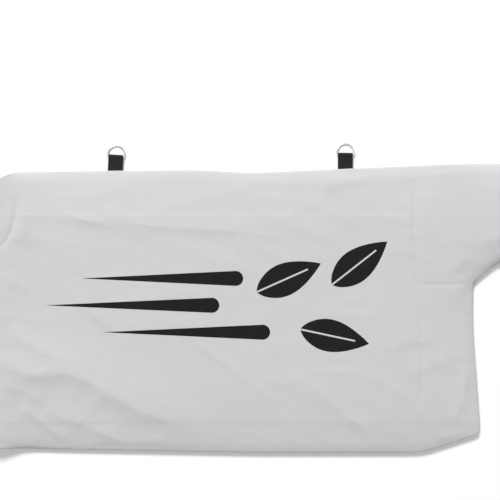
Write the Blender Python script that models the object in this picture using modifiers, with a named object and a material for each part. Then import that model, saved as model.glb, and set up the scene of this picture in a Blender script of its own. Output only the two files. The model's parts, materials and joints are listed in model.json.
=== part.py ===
"""Collection bag of a hand-held vacuum shredder, empty and laid flat on a table.

Two cloth panels are sewn round their edge with the allowance turned in. A zip closes the
left end, two webbing tabs with D-rings hang the bag from a shoulder belt, and a strap with
a cam buckle clamps the neck round the machine's elbow.
"""

import math

import bmesh
import bpy
from mathutils import Matrix, Vector
from mathutils.geometry import intersect_point_line

MM = 0.001

# Plan of the bag, measured from the lower end of its left edge
BODY_LENGTH = 818.5 * MM
BODY_HEIGHT = 475 * MM
NECK_REACH = 141.5 * MM
NECK_WIDTH = 161 * MM
NECK_RISE = 10 * MM
FLARE_RUN = 43 * MM
FLARE_DROP = 40 * MM
FLARE_RADII = (20 * MM, 60 * MM)
LEFT_RISE = 8 * MM
LEFT_DROP = 3.4 * MM
BELLY_X = 440 * MM
TOE_RUN = 96 * MM
TOE_RISE = 31 * MM
TOE_SIDE = 22 * MM
SIDE_INSET = 11.5 * MM
SIDE_INSET_Y = 215 * MM
SHOULDER_RUN = 40 * MM
DIP_X = 437 * MM
DIP_DEPTH = 5 * MM
DIP_RUN = 95 * MM
LOW_CORNER_RADIUS = 13 * MM
TOP_CORNER_RADIUS = 44 * MM
TOE_RADIUS = 60 * MM
TOE_CORNER_RADIUS = 20 * MM
SOFT_RADIUS = 150 * MM

# Cloth and its seams
CLOTH = 0.6 * MM
CLEARANCE = 0.3 * MM
ALLOWANCE = 8 * MM
SEAM_Z = 4 * MM
LOFT = 26.5 * MM
BODY_SHOULDER = 110 * MM
NECK_SHOULDER = 42 * MM
EDGE_RISE = 3 * MM
EDGE_ROUND = 4 * MM
CURL = 3 * MM
CURL_RISE = 1.2 * MM
NECK_BLEND = 80 * MM

# Mesh of the cloth
OUTLINE_PITCH = 40 * MM
GRID_PITCH = 27 * MM
ARC_STEP = math.radians(18)
FRONT_INSETS = (0, 2 * MM, 10 * MM)
BACK_INSETS = (0, CURL)
MOUTH_OVERRUN = 30 * MM
MIDDLE = 1  # marks the faces that the grid cuts

# Webbing tabs and D-rings
WEBBING = 25 * MM
WEBBING_THICK = 1.2 * MM
TAB_FIRST_X = 206.5 * MM
TAB_PITCH = 387 * MM
TAB_LEANS = (math.radians(-3.5), math.radians(-1))
TAB_REACH = 27.4 * MM
TAB_ROOT = 12 * MM
TAB_PLY_JOIN = 9 * MM
RING_WIRE = 2.5 * MM
RING_HEIGHT = 17.8 * MM
RING_CORNER = 2.4 * MM
RING_SIDE_GAP = 0.4 * MM

# Zip across the left end
ZIP_LENGTH = 350 * MM
ZIP_WALL = 20.5 * MM
ZIP_FADE = 150 * MM
TAPE_HALF = 7.2 * MM
TAPE_THICK = 0.6 * MM
TAPE_OVERLAP = 6 * MM
CHAIN_HALF = 3 * MM
BEAD = 1.1 * MM
TOOTH_THICK = 2.4 * MM
TOOTH_PITCH = 4 * MM
TOOTH_GAP = 0.35 * MM
SLIDER_LENGTH = 13 * MM
SLIDER_HALF = 4.6 * MM
SLIDER_PLATE = 1.3 * MM
SLIDER_WEDGE = 4.5 * MM
BRIDGE_LENGTH = 8.4 * MM
BRIDGE_WIDTH = 2.4 * MM
BRIDGE_ROOM = 2.1 * MM
BRIDGE_THICK = 1.2 * MM
PULL_LENGTH = 27 * MM
PULL_WIDTH = 7 * MM
PULL_THICK = 1.4 * MM
PULL_WAIST = 8 * MM
PULL_CORNER = 2 * MM
STOP_LENGTH = 3.5 * MM

# Neck cuff, strap and cam buckle
SECTION_STEPS = tuple(v * MM for v in (0, 1.3, 4.5, 9, 13, 20, 28, 36, 44, 60))  # from the neck's edge
CUFF_WIDTH = 46 * MM
CUFF_THICK = 0.8 * MM
STRAP_THICK = 1.3 * MM
STRAP_INSET = 23 * MM
STRAP_TAIL = 74 * MM
SEWN_END = 14 * MM
BUCKLE_CLEAR = 30 * MM
DECK_LEAVE = 9 * MM
BUCKLE_CHEEK = 1.5 * MM
BUCKLE_BASE = 1.4 * MM
BUCKLE_BASE_LENGTH = 24 * MM
BAR_RADIUS = 1.25 * MM
PIN_RADIUS = 1.2 * MM
CAM_RADIUS = 3 * MM
CAM_RELIEF = 0.7 * MM
LEVER_LENGTH = 24 * MM
LEVER_THICK = 2 * MM
KEEPER_WIDTH = 12 * MM
KEEPER_FOOT = 7 * MM
KEEPER_Y = 46 * MM

# Printed fields of ink on the front panel
INK = 0.3 * MM
PRINT_LEFT = 92 * MM
PRINT_MID_Y = 248 * MM
STREAK_THICK = 25 * MM
STREAK_PITCH = 45 * MM
STREAK_SPANS = ((60 * MM, 330 * MM), (0, 290 * MM), (95 * MM, 375 * MM))
LEAF_LENGTH = 118 * MM
LEAF_WIDTH = 54 * MM
LEAF_PLACES = (
    (352 * MM, 22 * MM, math.radians(24)),
    (425 * MM, -40 * MM, math.radians(-12)),
    (478 * MM, 34 * MM, math.radians(38)),
)
VEIN_WIDTH = 3 * MM

# Long soft folds of the cloth: start, end, height and half width
FOLDS = (
    ((50 * MM, 425 * MM), (18 * MM, 335 * MM), 3.5 * MM, 13 * MM),
    ((52 * MM, 391 * MM), (480 * MM, 347 * MM), 1.6 * MM, 26 * MM),
    ((20 * MM, 158 * MM), (160 * MM, 122 * MM), 3.4 * MM, 24 * MM),
    ((130 * MM, 128 * MM), (270 * MM, 62 * MM), 3.6 * MM, 22 * MM),
    ((240 * MM, 76 * MM), (400 * MM, 14 * MM), 3.2 * MM, 22 * MM),
    ((45 * MM, 80 * MM), (120 * MM, 32 * MM), 2.6 * MM, 15 * MM),
    ((128 * MM, 66 * MM), (235 * MM, 12 * MM), 2.6 * MM, 15 * MM),
    ((640 * MM, 172 * MM), (765 * MM, 232 * MM), 1.6 * MM, 24 * MM),
    ((714 * MM, 470 * MM), (712 * MM, 262 * MM), 1.1 * MM, 13 * MM),
    ((700 * MM, 276 * MM), (812 * MM, 283 * MM), 1.3 * MM, 13 * MM),
    ((792 * MM, 30 * MM), (808 * MM, 200 * MM), 1.6 * MM, 16 * MM),
    ((470 * MM, 42 * MM), (640 * MM, 30 * MM), 1.6 * MM, 22 * MM),
)

MOUTH_X = BODY_LENGTH + NECK_REACH
NECK_TOP = BODY_HEIGHT + NECK_RISE
NECK_LOW = NECK_TOP - NECK_WIDTH
NECK_MID = (NECK_TOP + NECK_LOW) / 2
NECK_LIFT = STRAP_THICK + CUFF_THICK + 2 * CLEARANCE
TAB_THICK = 2 * WEBBING_THICK + CLEARANCE
TAB_OPENING = (TAB_THICK + 2 * CLEARANCE) / 2 - CLEARANCE / 2
TAB_XS = (TAB_FIRST_X, TAB_FIRST_X + TAB_PITCH)
LOOP_RADIUS = RING_WIRE / 2 + CLEARANCE + WEBBING_THICK / 2
RING_HALF = WEBBING / 2 + RING_SIDE_GAP + RING_WIRE / 2
ZIP_X = CLOTH + CLEARANCE + TAPE_THICK / 2
ZIP_Z = SEAM_Z + CLEARANCE / 2 + CLOTH + CLEARANCE + TAPE_HALF
ZIP_MID_Y = (LEFT_RISE + LOW_CORNER_RADIUS + BODY_HEIGHT - TOP_CORNER_RADIUS) / 2
SLIDER_OUTER = TOOTH_THICK / 2 + TOOTH_GAP + SLIDER_PLATE
STRAP_X = MOUTH_X - STRAP_INSET


def smooth(t):
    t = min(max(t, 0), 1)
    return t * t * (3 - 2 * t)


def rounded(corners):
    """Closed outline through (x, y, radius): an arc at each corner, straight stretches cut to the pitch."""
    points = []
    for i, (x, y, radius) in enumerate(corners):
        here = Vector((x, y))
        before = Vector(corners[i - 1][:2])
        after = Vector(corners[(i + 1) % len(corners)][:2])
        into, out = (here - before).normalized(), (after - here).normalized()
        turn = math.atan2(into.cross(out), into.dot(out))
        room = 0.45 * min((here - before).length, (after - here).length)
        reach = min(radius * math.tan(abs(turn) / 2), room)
        if reach < CLEARANCE:
            points.append(here)
            continue
        steps = max(1, math.ceil(abs(turn) / ARC_STEP))
        start = here - into * reach
        radius = reach / math.tan(abs(turn) / 2)
        side = Vector((-into.y, into.x)) * math.copysign(radius, turn)
        centre = start + side
        points += [centre + Matrix.Rotation(turn * k / steps, 2) @ -side for k in range(steps + 1)]
    outline = []
    for start, end in zip(points, points[1:] + points[:1]):
        cuts = max(1, math.ceil((end - start).length / OUTLINE_PITCH))
        outline += [start.lerp(end, k / cuts) for k in range(cuts)]
    return outline


def bag_outline():
    """Plan of both panels. It runs past the mouth, where the panels are cut off square."""
    side_x = BODY_LENGTH - SIDE_INSET
    outline = rounded([
        (0, LEFT_RISE, LOW_CORNER_RADIUS),
        (BELLY_X, 0, SOFT_RADIUS),
        (BODY_LENGTH - TOE_RUN, 0, TOE_RADIUS),
        (BODY_LENGTH, TOE_RISE, TOE_CORNER_RADIUS),
        (BODY_LENGTH, TOE_RISE + TOE_SIDE, SOFT_RADIUS),
        (side_x, SIDE_INSET_Y, SOFT_RADIUS),
        (side_x, NECK_LOW - FLARE_DROP, FLARE_RADII[0]),
        (side_x + FLARE_RUN, NECK_LOW, FLARE_RADII[1]),
        (MOUTH_X + MOUTH_OVERRUN, NECK_LOW, 0),
        (MOUTH_X + MOUTH_OVERRUN, NECK_TOP, 0),
        (BODY_LENGTH - SHOULDER_RUN, NECK_TOP, SOFT_RADIUS),
        (DIP_X, BODY_HEIGHT - DIP_DEPTH, SOFT_RADIUS),
        (DIP_X - DIP_RUN, BODY_HEIGHT, SOFT_RADIUS),
        (0, BODY_HEIGHT - LEFT_DROP, TOP_CORNER_RADIUS),
    ])
    for tab_x in TAB_XS:
        for reach in (WEBBING / 2 + 2 * MM, WEBBING / 2 + 14 * MM):
            for x in (tab_x - reach, tab_x + reach):
                i = top_segment(outline, x)
                outline.insert(i + 1, Vector((x, top_edge_y(outline, x))))
    return outline


def top_segment(outline, x):
    """Index of the stretch of the upper edge, which runs from right to left, that crosses x."""
    for i, (a, b) in enumerate(zip(outline, outline[1:])):
        if a.x >= x > b.x and a.y > BODY_HEIGHT / 2:
            return i
    return len(outline) - 1


def top_edge_y(outline, x):
    i = top_segment(outline, x)
    a, b = outline[i], outline[(i + 1) % len(outline)]
    return a.y + (b.y - a.y) * (x - a.x) / (b.x - a.x)


OUTLINE = bag_outline()


def edge_distance(x, y):
    here = Vector((x, y))
    nearest = math.inf
    for a, b in zip(OUTLINE, OUTLINE[1:] + OUTLINE[:1]):
        foot, share = intersect_point_line(here, a, b)
        foot = a.lerp(b, min(max(share, 0), 1))
        nearest = min(nearest, (foot.xy - here).length)
    return nearest


def neck_share(x):
    """0 in the body and 1 in the neck, where the bag stands on its strap."""
    return smooth((x - BODY_LENGTH + NECK_BLEND / 3) / NECK_BLEND)


def tab_opening(x, y):
    """How far each panel's edge gives way where a tab leaves the seam."""
    if y < BODY_HEIGHT / 2:
        return 0
    nearest = min(abs(x - tab_x) for tab_x in TAB_XS)
    return TAB_OPENING * smooth((WEBBING / 2 + 14 * MM - nearest) / (12 * MM))


def front_rim(x, y):
    return SEAM_Z + CLEARANCE / 2 + tab_opening(x, y) + NECK_LIFT * neck_share(x)


def back_rim(x, y):
    return SEAM_Z - CLEARANCE / 2 - tab_opening(x, y) + NECK_LIFT * neck_share(x)


def fold_height(x, y):
    """Height that the folds add at a point."""
    here, total = Vector((x, y)), 0
    for start, end, height, half_width in FOLDS:
        foot, share = intersect_point_line(here, Vector(start), Vector(end))
        along = math.sin(math.pi * min(max(share, 0), 1)) ** 0.7
        total += height * along * math.exp(-(((foot.xy - here).length / half_width) ** 2))
    return total


def front_height(x, y):
    """Outer face of the front panel: a wall at the edge, then a pillow that levels off."""
    inward = edge_distance(x, y)
    shoulder = BODY_SHOULDER + (NECK_SHOULDER - BODY_SHOULDER) * neck_share(x)
    zip_share = 1 - smooth(x / ZIP_FADE)
    wall = EDGE_RISE + (ZIP_WALL - EDGE_RISE) * zip_share
    rounding = EDGE_ROUND * zip_share
    round_off = min(max(1 - inward / EDGE_ROUND, 0), 1)
    wall_top = front_rim(x, y) + wall - rounding * (1 - math.sqrt(1 - round_off**2))
    swell = (1 - (1 - min(inward / shoulder, 1)) ** 2.4) ** 0.667
    level = LOFT + NECK_LIFT * neck_share(x)
    body = 1 - neck_share(x)
    return wall_top + (level - front_rim(x, y) - wall) * swell + fold_height(x, y) * swell**2 * body


def back_height(x, y):
    """Outer face of the back panel: flat on the table, with a rounded edge below the seam."""
    curl = min(max(1 - edge_distance(x, y) / CURL, 0), 1)
    rise = CURL_RISE * (1 - tab_opening(x, y) / SEAM_Z)
    return NECK_LIFT * neck_share(x) + rise * (1 - math.sqrt(1 - curl**2))


def material(name, colour, roughness, metallic=0):
    made = bpy.data.materials.new(name)
    made.use_nodes = True
    shader = made.node_tree.nodes["Principled BSDF"]
    shader.inputs["Base Color"].default_value = (*colour, 1)
    shader.inputs["Roughness"].default_value = roughness
    shader.inputs["Metallic"].default_value = metallic
    return made


def collection(name):
    made = bpy.data.collections.new(name)
    bpy.context.scene.collection.children.link(made)
    return made


def empty(name, location, parent=None, turn=0):
    made = bpy.data.objects.new(name, None)
    made.location = location
    made.rotation_euler.z = turn
    made.parent = parent
    PARTS.objects.link(made)
    return made


def part(name, mesh, finish, parent, location=(0, 0, 0), rotation=(0, 0, 0)):
    """A finished sub-part, placed under its parent."""
    if isinstance(mesh, bmesh.types.BMesh):
        data = bpy.data.meshes.new(name)
        mesh.to_mesh(data)
        mesh.free()
        mesh = data
    made = bpy.data.objects.new(name, mesh)
    made.location = location
    made.rotation_euler = rotation
    made.parent = parent
    mesh.materials.append(finish)
    PARTS.objects.link(made)
    return made


def helper(name, mesh, parent, location=(0, 0, 0)):
    """A cutter, or a shape to be joined, that is left out of the model."""
    made = part(name, mesh, MATERIALS["helper"], parent, location)
    PARTS.objects.unlink(made)
    CUTTERS.objects.link(made)
    made.hide_render = True
    made.display_type = "WIRE"
    return made


def boolean(target, other, operation):
    modifier = target.modifiers.new(operation.title(), "BOOLEAN")
    modifier.operation = operation
    modifier.object = other


def solidify(target, thickness, offset):
    modifier = target.modifiers.new("Solidify", "SOLIDIFY")
    modifier.thickness = thickness
    modifier.offset = offset
    modifier.use_even_offset = True


def bevel(target, width, segments=2):
    modifier = target.modifiers.new("Bevel", "BEVEL")
    modifier.width = width
    modifier.segments = segments
    modifier.limit_method = "ANGLE"


def box_mesh(x, y, z):
    """A box from its (low, high) along each axis."""
    mesh = bmesh.new()
    size = Matrix.Diagonal((x[1] - x[0], y[1] - y[0], z[1] - z[0], 1))
    centre = Matrix.Translation((sum(x) / 2, sum(y) / 2, sum(z) / 2))
    bmesh.ops.create_cube(mesh, size=1, matrix=centre @ size)
    return mesh


def rod_mesh(radius, half_length, sides=20):
    """A round rod along X, centred on the origin."""
    mesh = bmesh.new()
    bmesh.ops.create_cone(
        mesh,
        cap_ends=True,
        segments=sides,
        radius1=radius,
        radius2=radius,
        depth=2 * half_length,
        matrix=Matrix.Rotation(math.radians(90), 4, "Y"),
    )
    return mesh


def strip_mesh(route, width):
    """A band that follows a route of (y, z) points, as wide along X as the webbing."""
    mesh = bmesh.new()
    verts = [mesh.verts.new((-width / 2, y, z)) for y, z in route]
    edges = [mesh.edges.new(pair) for pair in zip(verts, verts[1:])]
    made = bmesh.ops.extrude_edge_only(mesh, edges=edges)["geom"]
    moved = [g for g in made if isinstance(g, bmesh.types.BMVert)]
    bmesh.ops.translate(mesh, verts=moved, vec=(width, 0, 0))
    return mesh


def prism_mesh(profile, thickness, axis="X"):
    """A flat outline with a thickness, centred on its plane: (y, z) points along X, or (x, y) along Z."""
    mesh = bmesh.new()
    half = thickness / 2
    if axis == "X":
        verts = [mesh.verts.new((-half, a, b)) for a, b in profile]
        lift = Vector((thickness, 0, 0))
    else:
        verts = [mesh.verts.new((a, b, -half)) for a, b in profile]
        lift = Vector((0, 0, thickness))
    face = mesh.faces.new(verts)
    made = bmesh.ops.extrude_face_region(mesh, geom=[face])["geom"]
    bmesh.ops.translate(mesh, verts=[g for g in made if isinstance(g, bmesh.types.BMVert)], vec=lift)
    bmesh.ops.recalc_face_normals(mesh, faces=mesh.faces)
    return mesh


def sheet_mesh(insets, height, rim=None, grid_start=0):
    """A panel's outer face as an open sheet, with a grid in its middle from grid_start to the mouth.

    With a rim, the sheet turns in at its edge as a seam allowance.
    """
    mesh = bmesh.new()
    centre = mesh.faces.new([mesh.verts.new((*point, 0)) for point in OUTLINE])
    centre.normal_update()
    inward = {}
    for before, here, after in zip(OUTLINE[-1:] + OUTLINE[:-1], OUTLINE, OUTLINE[1:] + OUTLINE[:1]):
        along = (here - before).normalized() + (after - here).normalized()
        inward[round(here.x, 7), round(here.y, 7)] = Vector((-along.y, along.x, 0)).normalized()
    for outer, inner in zip(insets, insets[1:]):
        bmesh.ops.inset_region(
            mesh, faces=[centre], thickness=inner - outer, use_even_offset=True, use_boundary=True
        )
    centre.material_index = MIDDLE
    grid_cut(mesh, Vector((1, 0, 0)), grid_start, MOUTH_X + MOUTH_OVERRUN)
    grid_cut(mesh, Vector((0, 1, 0)), NECK_LOW if grid_start else 0, NECK_TOP)
    bmesh.ops.triangulate(mesh, faces=mesh.faces)
    for face in mesh.faces:
        face.material_index = 0
    for vert in mesh.verts:
        vert.co.z = height(vert.co.x, vert.co.y)
    if rim:
        turn_in(mesh, rim, inward)
    cut_square(mesh, Vector((1, 0, 0)), MOUTH_X)
    return mesh


def grid_cut(mesh, normal, start, end):
    """Cuts the middle of the sheet along the grid's lines between start and end."""
    for k in range(math.floor(start / GRID_PITCH) + 1, math.ceil(end / GRID_PITCH)):
        faces = [face for face in mesh.faces if face.material_index == MIDDLE]
        edges = {edge for face in faces for edge in face.edges}
        verts = {vert for face in faces for vert in face.verts}
        bmesh.ops.bisect_plane(
            mesh,
            geom=[*verts, *edges, *faces],
            dist=1e-6,
            plane_co=normal * (k * GRID_PITCH),
            plane_no=normal,
        )


def cut_square(mesh, normal, distance):
    """Removes what lies beyond a plane."""
    bmesh.ops.bisect_plane(
        mesh,
        geom=[*mesh.verts, *mesh.edges, *mesh.faces],
        dist=1e-6,
        plane_co=normal * distance,
        plane_no=normal,
        clear_outer=True,
    )


def turn_in(mesh, rim, inward):
    """Adds the low wall at the edge, and the allowance turned in from it."""
    edges = [edge for edge in mesh.edges if edge.is_boundary]
    for reach in (0, ALLOWANCE):
        made = bmesh.ops.extrude_edge_only(mesh, edges=edges)["geom"]
        edges = [g for g in made if isinstance(g, bmesh.types.BMEdge)]
        for vert in {vert for edge in edges for vert in edge.verts}:
            x, y = vert.co.xy
            vert.co.z = rim(x, y)
            vert.co += inward[round(x, 7), round(y, 7)] * reach


def face_outward(mesh, up):
    """Turns every face of an open sheet to the outside of the bag."""
    bmesh.ops.recalc_face_normals(mesh, faces=mesh.faces)
    facing_up = sum(face.normal.z * face.calc_area() for face in mesh.faces) > 0
    if facing_up != up:
        bmesh.ops.reverse_faces(mesh, faces=mesh.faces)


def make_panels():
    """The two cloth panels. The front one falls over the left end as a wall, slotted for the zip."""
    front = sheet_mesh(FRONT_INSETS, front_height, front_rim)
    face_outward(front, up=True)
    front_panel = part("front_panel", front, MATERIALS["cloth"], LAYOUT)
    solidify(front_panel, CLOTH, -1)
    slot_half = SLIDER_HALF + 0.4 * MM
    slot = helper(
        "zip_slot",
        box_mesh((-ZIP_X, ZIP_X), (-ZIP_LENGTH / 2, ZIP_LENGTH / 2), (-slot_half, slot_half)),
        ZIP_LINE,
    )
    boolean(front_panel, slot, "DIFFERENCE")

    back = sheet_mesh(BACK_INSETS, back_height, back_rim, BODY_LENGTH - NECK_BLEND / 2)
    face_outward(back, up=False)
    back_panel = part("back_panel", back, MATERIALS["cloth"], LAYOUT)
    solidify(back_panel, CLOTH, -1)


def leaf_profile(length, width):
    """A pointed leaf along X, its stalk end at the origin."""
    steps = 14
    shares = [k / steps for k in range(steps + 1)]
    side = [(length * t, width / 2 * math.sin(math.pi * t**0.8) ** 0.9) for t in shares]
    side[0], side[-1] = (0, 0), (length, 0)
    return side + [(x, -y) for x, y in reversed(side[1:-1])]


def streak_profile(start, end, thick):
    """A wind streak: a bar with a round front end that thins to a point at its tail."""
    half = thick / 2
    nose = [
        (end - half + half * math.cos(a), half * math.sin(a))
        for a in [math.radians(-90 + 22.5 * k) for k in range(9)]
    ]
    return [(start, 0)] + nose


def print_fields():
    """(name, outline) of each printed field, in the plan of the bag."""
    fields = []
    for i, (start, end) in enumerate(STREAK_SPANS):
        y = PRINT_MID_Y + (1 - i) * STREAK_PITCH
        outline = [(PRINT_LEFT + a, y + b) for a, b in streak_profile(start, end, STREAK_THICK)]
        fields.append((f"print_streak_{i + 1}", outline))
    for i, (x, y, turn) in enumerate(LEAF_PLACES):
        turned = [Matrix.Rotation(turn, 2) @ Vector(p) for p in leaf_profile(LEAF_LENGTH, LEAF_WIDTH)]
        outline = [(PRINT_LEFT + x + p.x, PRINT_MID_Y + y + p.y) for p in turned]
        fields.append((f"print_leaf_{i + 1}", outline))
    return fields


def make_print():
    """Each field is a film of ink that follows the front panel, cut out of a copy of its face."""
    fields = print_fields()
    film = sheet_mesh(FRONT_INSETS, front_height)
    every = [point for _, outline in fields for point in outline]
    margin = 5 * MM
    cut_square(film, Vector((1, 0, 0)), max(x for x, _ in every) + margin)
    cut_square(film, Vector((-1, 0, 0)), margin - min(x for x, _ in every))
    cut_square(film, Vector((0, 1, 0)), max(y for _, y in every) + margin)
    cut_square(film, Vector((0, -1, 0)), margin - min(y for _, y in every))
    bmesh.ops.translate(film, verts=film.verts, vec=(0, 0, CLEARANCE))
    face_outward(film, up=True)
    for name, outline in fields:
        field = part(name, film.copy(), MATERIALS["ink"], LAYOUT)
        solidify(field, INK, 1)
        cutter = helper(f"{name}_outline", prism_mesh(outline, 4 * LOFT, "Z"), LAYOUT)
        boolean(field, cutter, "INTERSECT")
    film.free()
    for i, (x, y, turn) in enumerate(LEAF_PLACES):
        half = VEIN_WIDTH / 2
        vein = box_mesh((-LEAF_LENGTH, 0.8 * LEAF_LENGTH), (-half, half), (0, 4 * LOFT))
        cutter = helper(f"vein_{i + 1}", vein, LAYOUT, (PRINT_LEFT + x, PRINT_MID_Y + y, 0))
        cutter.rotation_euler.z = turn
        boolean(bpy.data.objects[f"print_leaf_{i + 1}"], cutter, "DIFFERENCE")


def loop_route(bar_y, root_y):
    """Centreline of a tab folded round the ring's bar, from one ply's root to the other's."""
    ply = (WEBBING_THICK + CLEARANCE) / 2
    slope = math.atan2(LOOP_RADIUS - ply, TAB_PLY_JOIN)
    start = math.pi / 2 + slope
    steps = 12
    turn = [start - 2 * start * k / steps for k in range(steps + 1)]
    bend = [(bar_y + LOOP_RADIUS * math.cos(a), LOOP_RADIUS * math.sin(a)) for a in turn]
    join_y = bar_y - TAB_PLY_JOIN
    return [(root_y, ply), (join_y, ply)] + bend + [(join_y, -ply), (root_y, -ply)]


def ring_route():
    """Centreline of a D-ring: its bar on X, rounded corners and a half round bow."""
    corner = RING_CORNER
    flat = RING_HALF - corner
    bow_y = RING_HEIGHT - RING_HALF
    turns = [math.radians(30 * k) for k in range(4)]
    right = [(flat + corner * math.sin(a), corner - corner * math.cos(a)) for a in turns]
    left = [(-x, y) for x, y in reversed(right)]
    bow = [math.pi * k / 14 for k in range(15)]
    return left + right + [(RING_HALF * math.cos(a), bow_y + RING_HALF * math.sin(a)) for a in bow]


def curve_mesh(name, points, radius):
    """A closed wire as a mesh."""
    data = bpy.data.curves.new(name, "CURVE")
    data.dimensions = "3D"
    data.bevel_depth = radius
    data.bevel_resolution = 2
    spline = data.splines.new("POLY")
    spline.points.add(len(points) - 1)
    for slot, (x, y) in zip(spline.points, points):
        slot.co = (x, y, 0, 1)
    spline.use_cyclic_u = True
    wire = bpy.data.objects.new(name, data)
    bpy.context.scene.collection.objects.link(wire)
    bpy.context.view_layer.update()
    mesh = bpy.data.meshes.new_from_object(wire.evaluated_get(bpy.context.evaluated_depsgraph_get()))
    bpy.data.objects.remove(wire)
    mesh.materials.clear()
    return mesh


def make_tabs():
    """Webbing tabs sewn into the upper seam, each with a D-ring that swings on its bar."""
    fall = math.asin((SEAM_Z - RING_WIRE / 2) / RING_HEIGHT)
    bar_y = TAB_REACH - LOOP_RADIUS - WEBBING_THICK / 2
    for side, x, lean in zip(("left", "right"), TAB_XS, TAB_LEANS):
        base = empty(f"tab_{side}", (x, top_edge_y(OUTLINE, x), SEAM_Z), LAYOUT, lean)
        tab = part(
            f"ring_tab_{side}", strip_mesh(loop_route(bar_y, -TAB_ROOT), WEBBING), MATERIALS["webbing"], base
        )
        solidify(tab, WEBBING_THICK, 0)
        hinge = empty(f"ring_hinge_{side}", (0, bar_y, 0), base)
        wire = curve_mesh(f"d_ring_{side}", ring_route(), RING_WIRE / 2)
        ring = part(f"d_ring_{side}", wire, MATERIALS["steel"], hinge, rotation=(-fall, 0, 0))
        ring.data.shade_smooth()


def comb_profile(sign, low, high, first, count):
    """Outline, (y, z), of a row of moulded teeth on their bead, the teeth pointing across the zip."""
    bead, back, tip = (sign * v for v in (CHAIN_HALF - BEAD, CHAIN_HALF, BEAD + TOOTH_GAP - CHAIN_HALF))
    half = TOOTH_PITCH / 4 - TOOTH_GAP / 2
    outline = [(high, bead), (high, back), (low, back), (low, bead)]
    for k in range(count):
        y = first + k * TOOTH_PITCH
        outline += [(y - half, bead), (y - half, tip), (y + half, tip), (y + half, bead)]
    return outline


def make_zip():
    """Two taped rows of interlocking teeth, held closed, with their stops, the slider and its pull."""
    half = ZIP_LENGTH / 2
    front_end = half - STOP_LENGTH - 3 * MM
    teeth_low = -half + STOP_LENGTH + 2 * MM
    teeth_high = front_end - SLIDER_WEDGE - 1.5 * MM
    count = int((teeth_high - teeth_low) / TOOTH_PITCH)
    for name, sign, shift in (("upper", 1, 0), ("lower", -1, TOOTH_PITCH / 2)):
        tape = part(
            f"zip_tape_{name}",
            box_mesh(
                (-TAPE_THICK / 2, TAPE_THICK / 2),
                (-half - TAPE_OVERLAP, half + TAPE_OVERLAP),
                sorted((sign * (CHAIN_HALF - BEAD / 2), sign * TAPE_HALF)),
            ),
            MATERIALS["zip"],
            ZIP_LINE,
        )
        comb = comb_profile(sign, -half + MM, half - MM, teeth_low + TOOTH_PITCH / 4 + shift, count)
        boolean(tape, helper(f"zip_teeth_{name}", prism_mesh(comb, TOOTH_THICK), ZIP_LINE), "UNION")
    make_stops(half)
    make_slider(front_end)


def make_stops(half):
    """A block across both rows at the closed end of the travel, and a clip on each row at the other."""
    reach = TOOTH_THICK / 2 + CLEARANCE
    outer = reach + 0.8 * MM
    bead_room = (CHAIN_HALF - BEAD - CLEARANCE, CHAIN_HALF + CLEARANCE)
    tape_room = TAPE_THICK / 2 + CLEARANCE
    low, high = -half + 1.5 * MM, half - 1.5 * MM
    for name, ends, spans in (
        ("zip_stop_bottom", (low, low + STOP_LENGTH - MM), (1, -1)),
        ("zip_stop_upper", (high - STOP_LENGTH + MM, high), (1,)),
        ("zip_stop_lower", (high - STOP_LENGTH + MM, high), (-1,)),
    ):
        if len(spans) == 2:
            z = (-CHAIN_HALF - 1 * MM, CHAIN_HALF + 1 * MM)
        else:
            z = sorted((spans[0] * 0.8 * MM, spans[0] * (CHAIN_HALF + 1 * MM)))
        stop = part(name, box_mesh((-outer, outer), ends, z), MATERIALS["zip"], ZIP_LINE)
        for sign in spans:
            along = (ends[0] - MM, ends[1] + MM)
            bead = box_mesh((-reach, reach), along, sorted(sign * v for v in bead_room))
            boolean(stop, helper(f"{name}_bead_room_{sign}", bead, ZIP_LINE), "DIFFERENCE")
            tape = box_mesh((-tape_room, tape_room), along, sorted((sign * CHAIN_HALF, sign * TAPE_HALF)))
            boolean(stop, helper(f"{name}_tape_room_{sign}", tape, ZIP_LINE), "DIFFERENCE")


def slider_plate(length, rear_half, front_half):
    """Outline of a slider's plate, (y, z), wider at its front end."""
    nose = 2 * MM
    return [
        (-length, -rear_half),
        (-nose, -front_half),
        (0, -front_half + nose),
        (0, front_half - nose),
        (-nose, front_half),
        (-length, rear_half),
    ]


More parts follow.
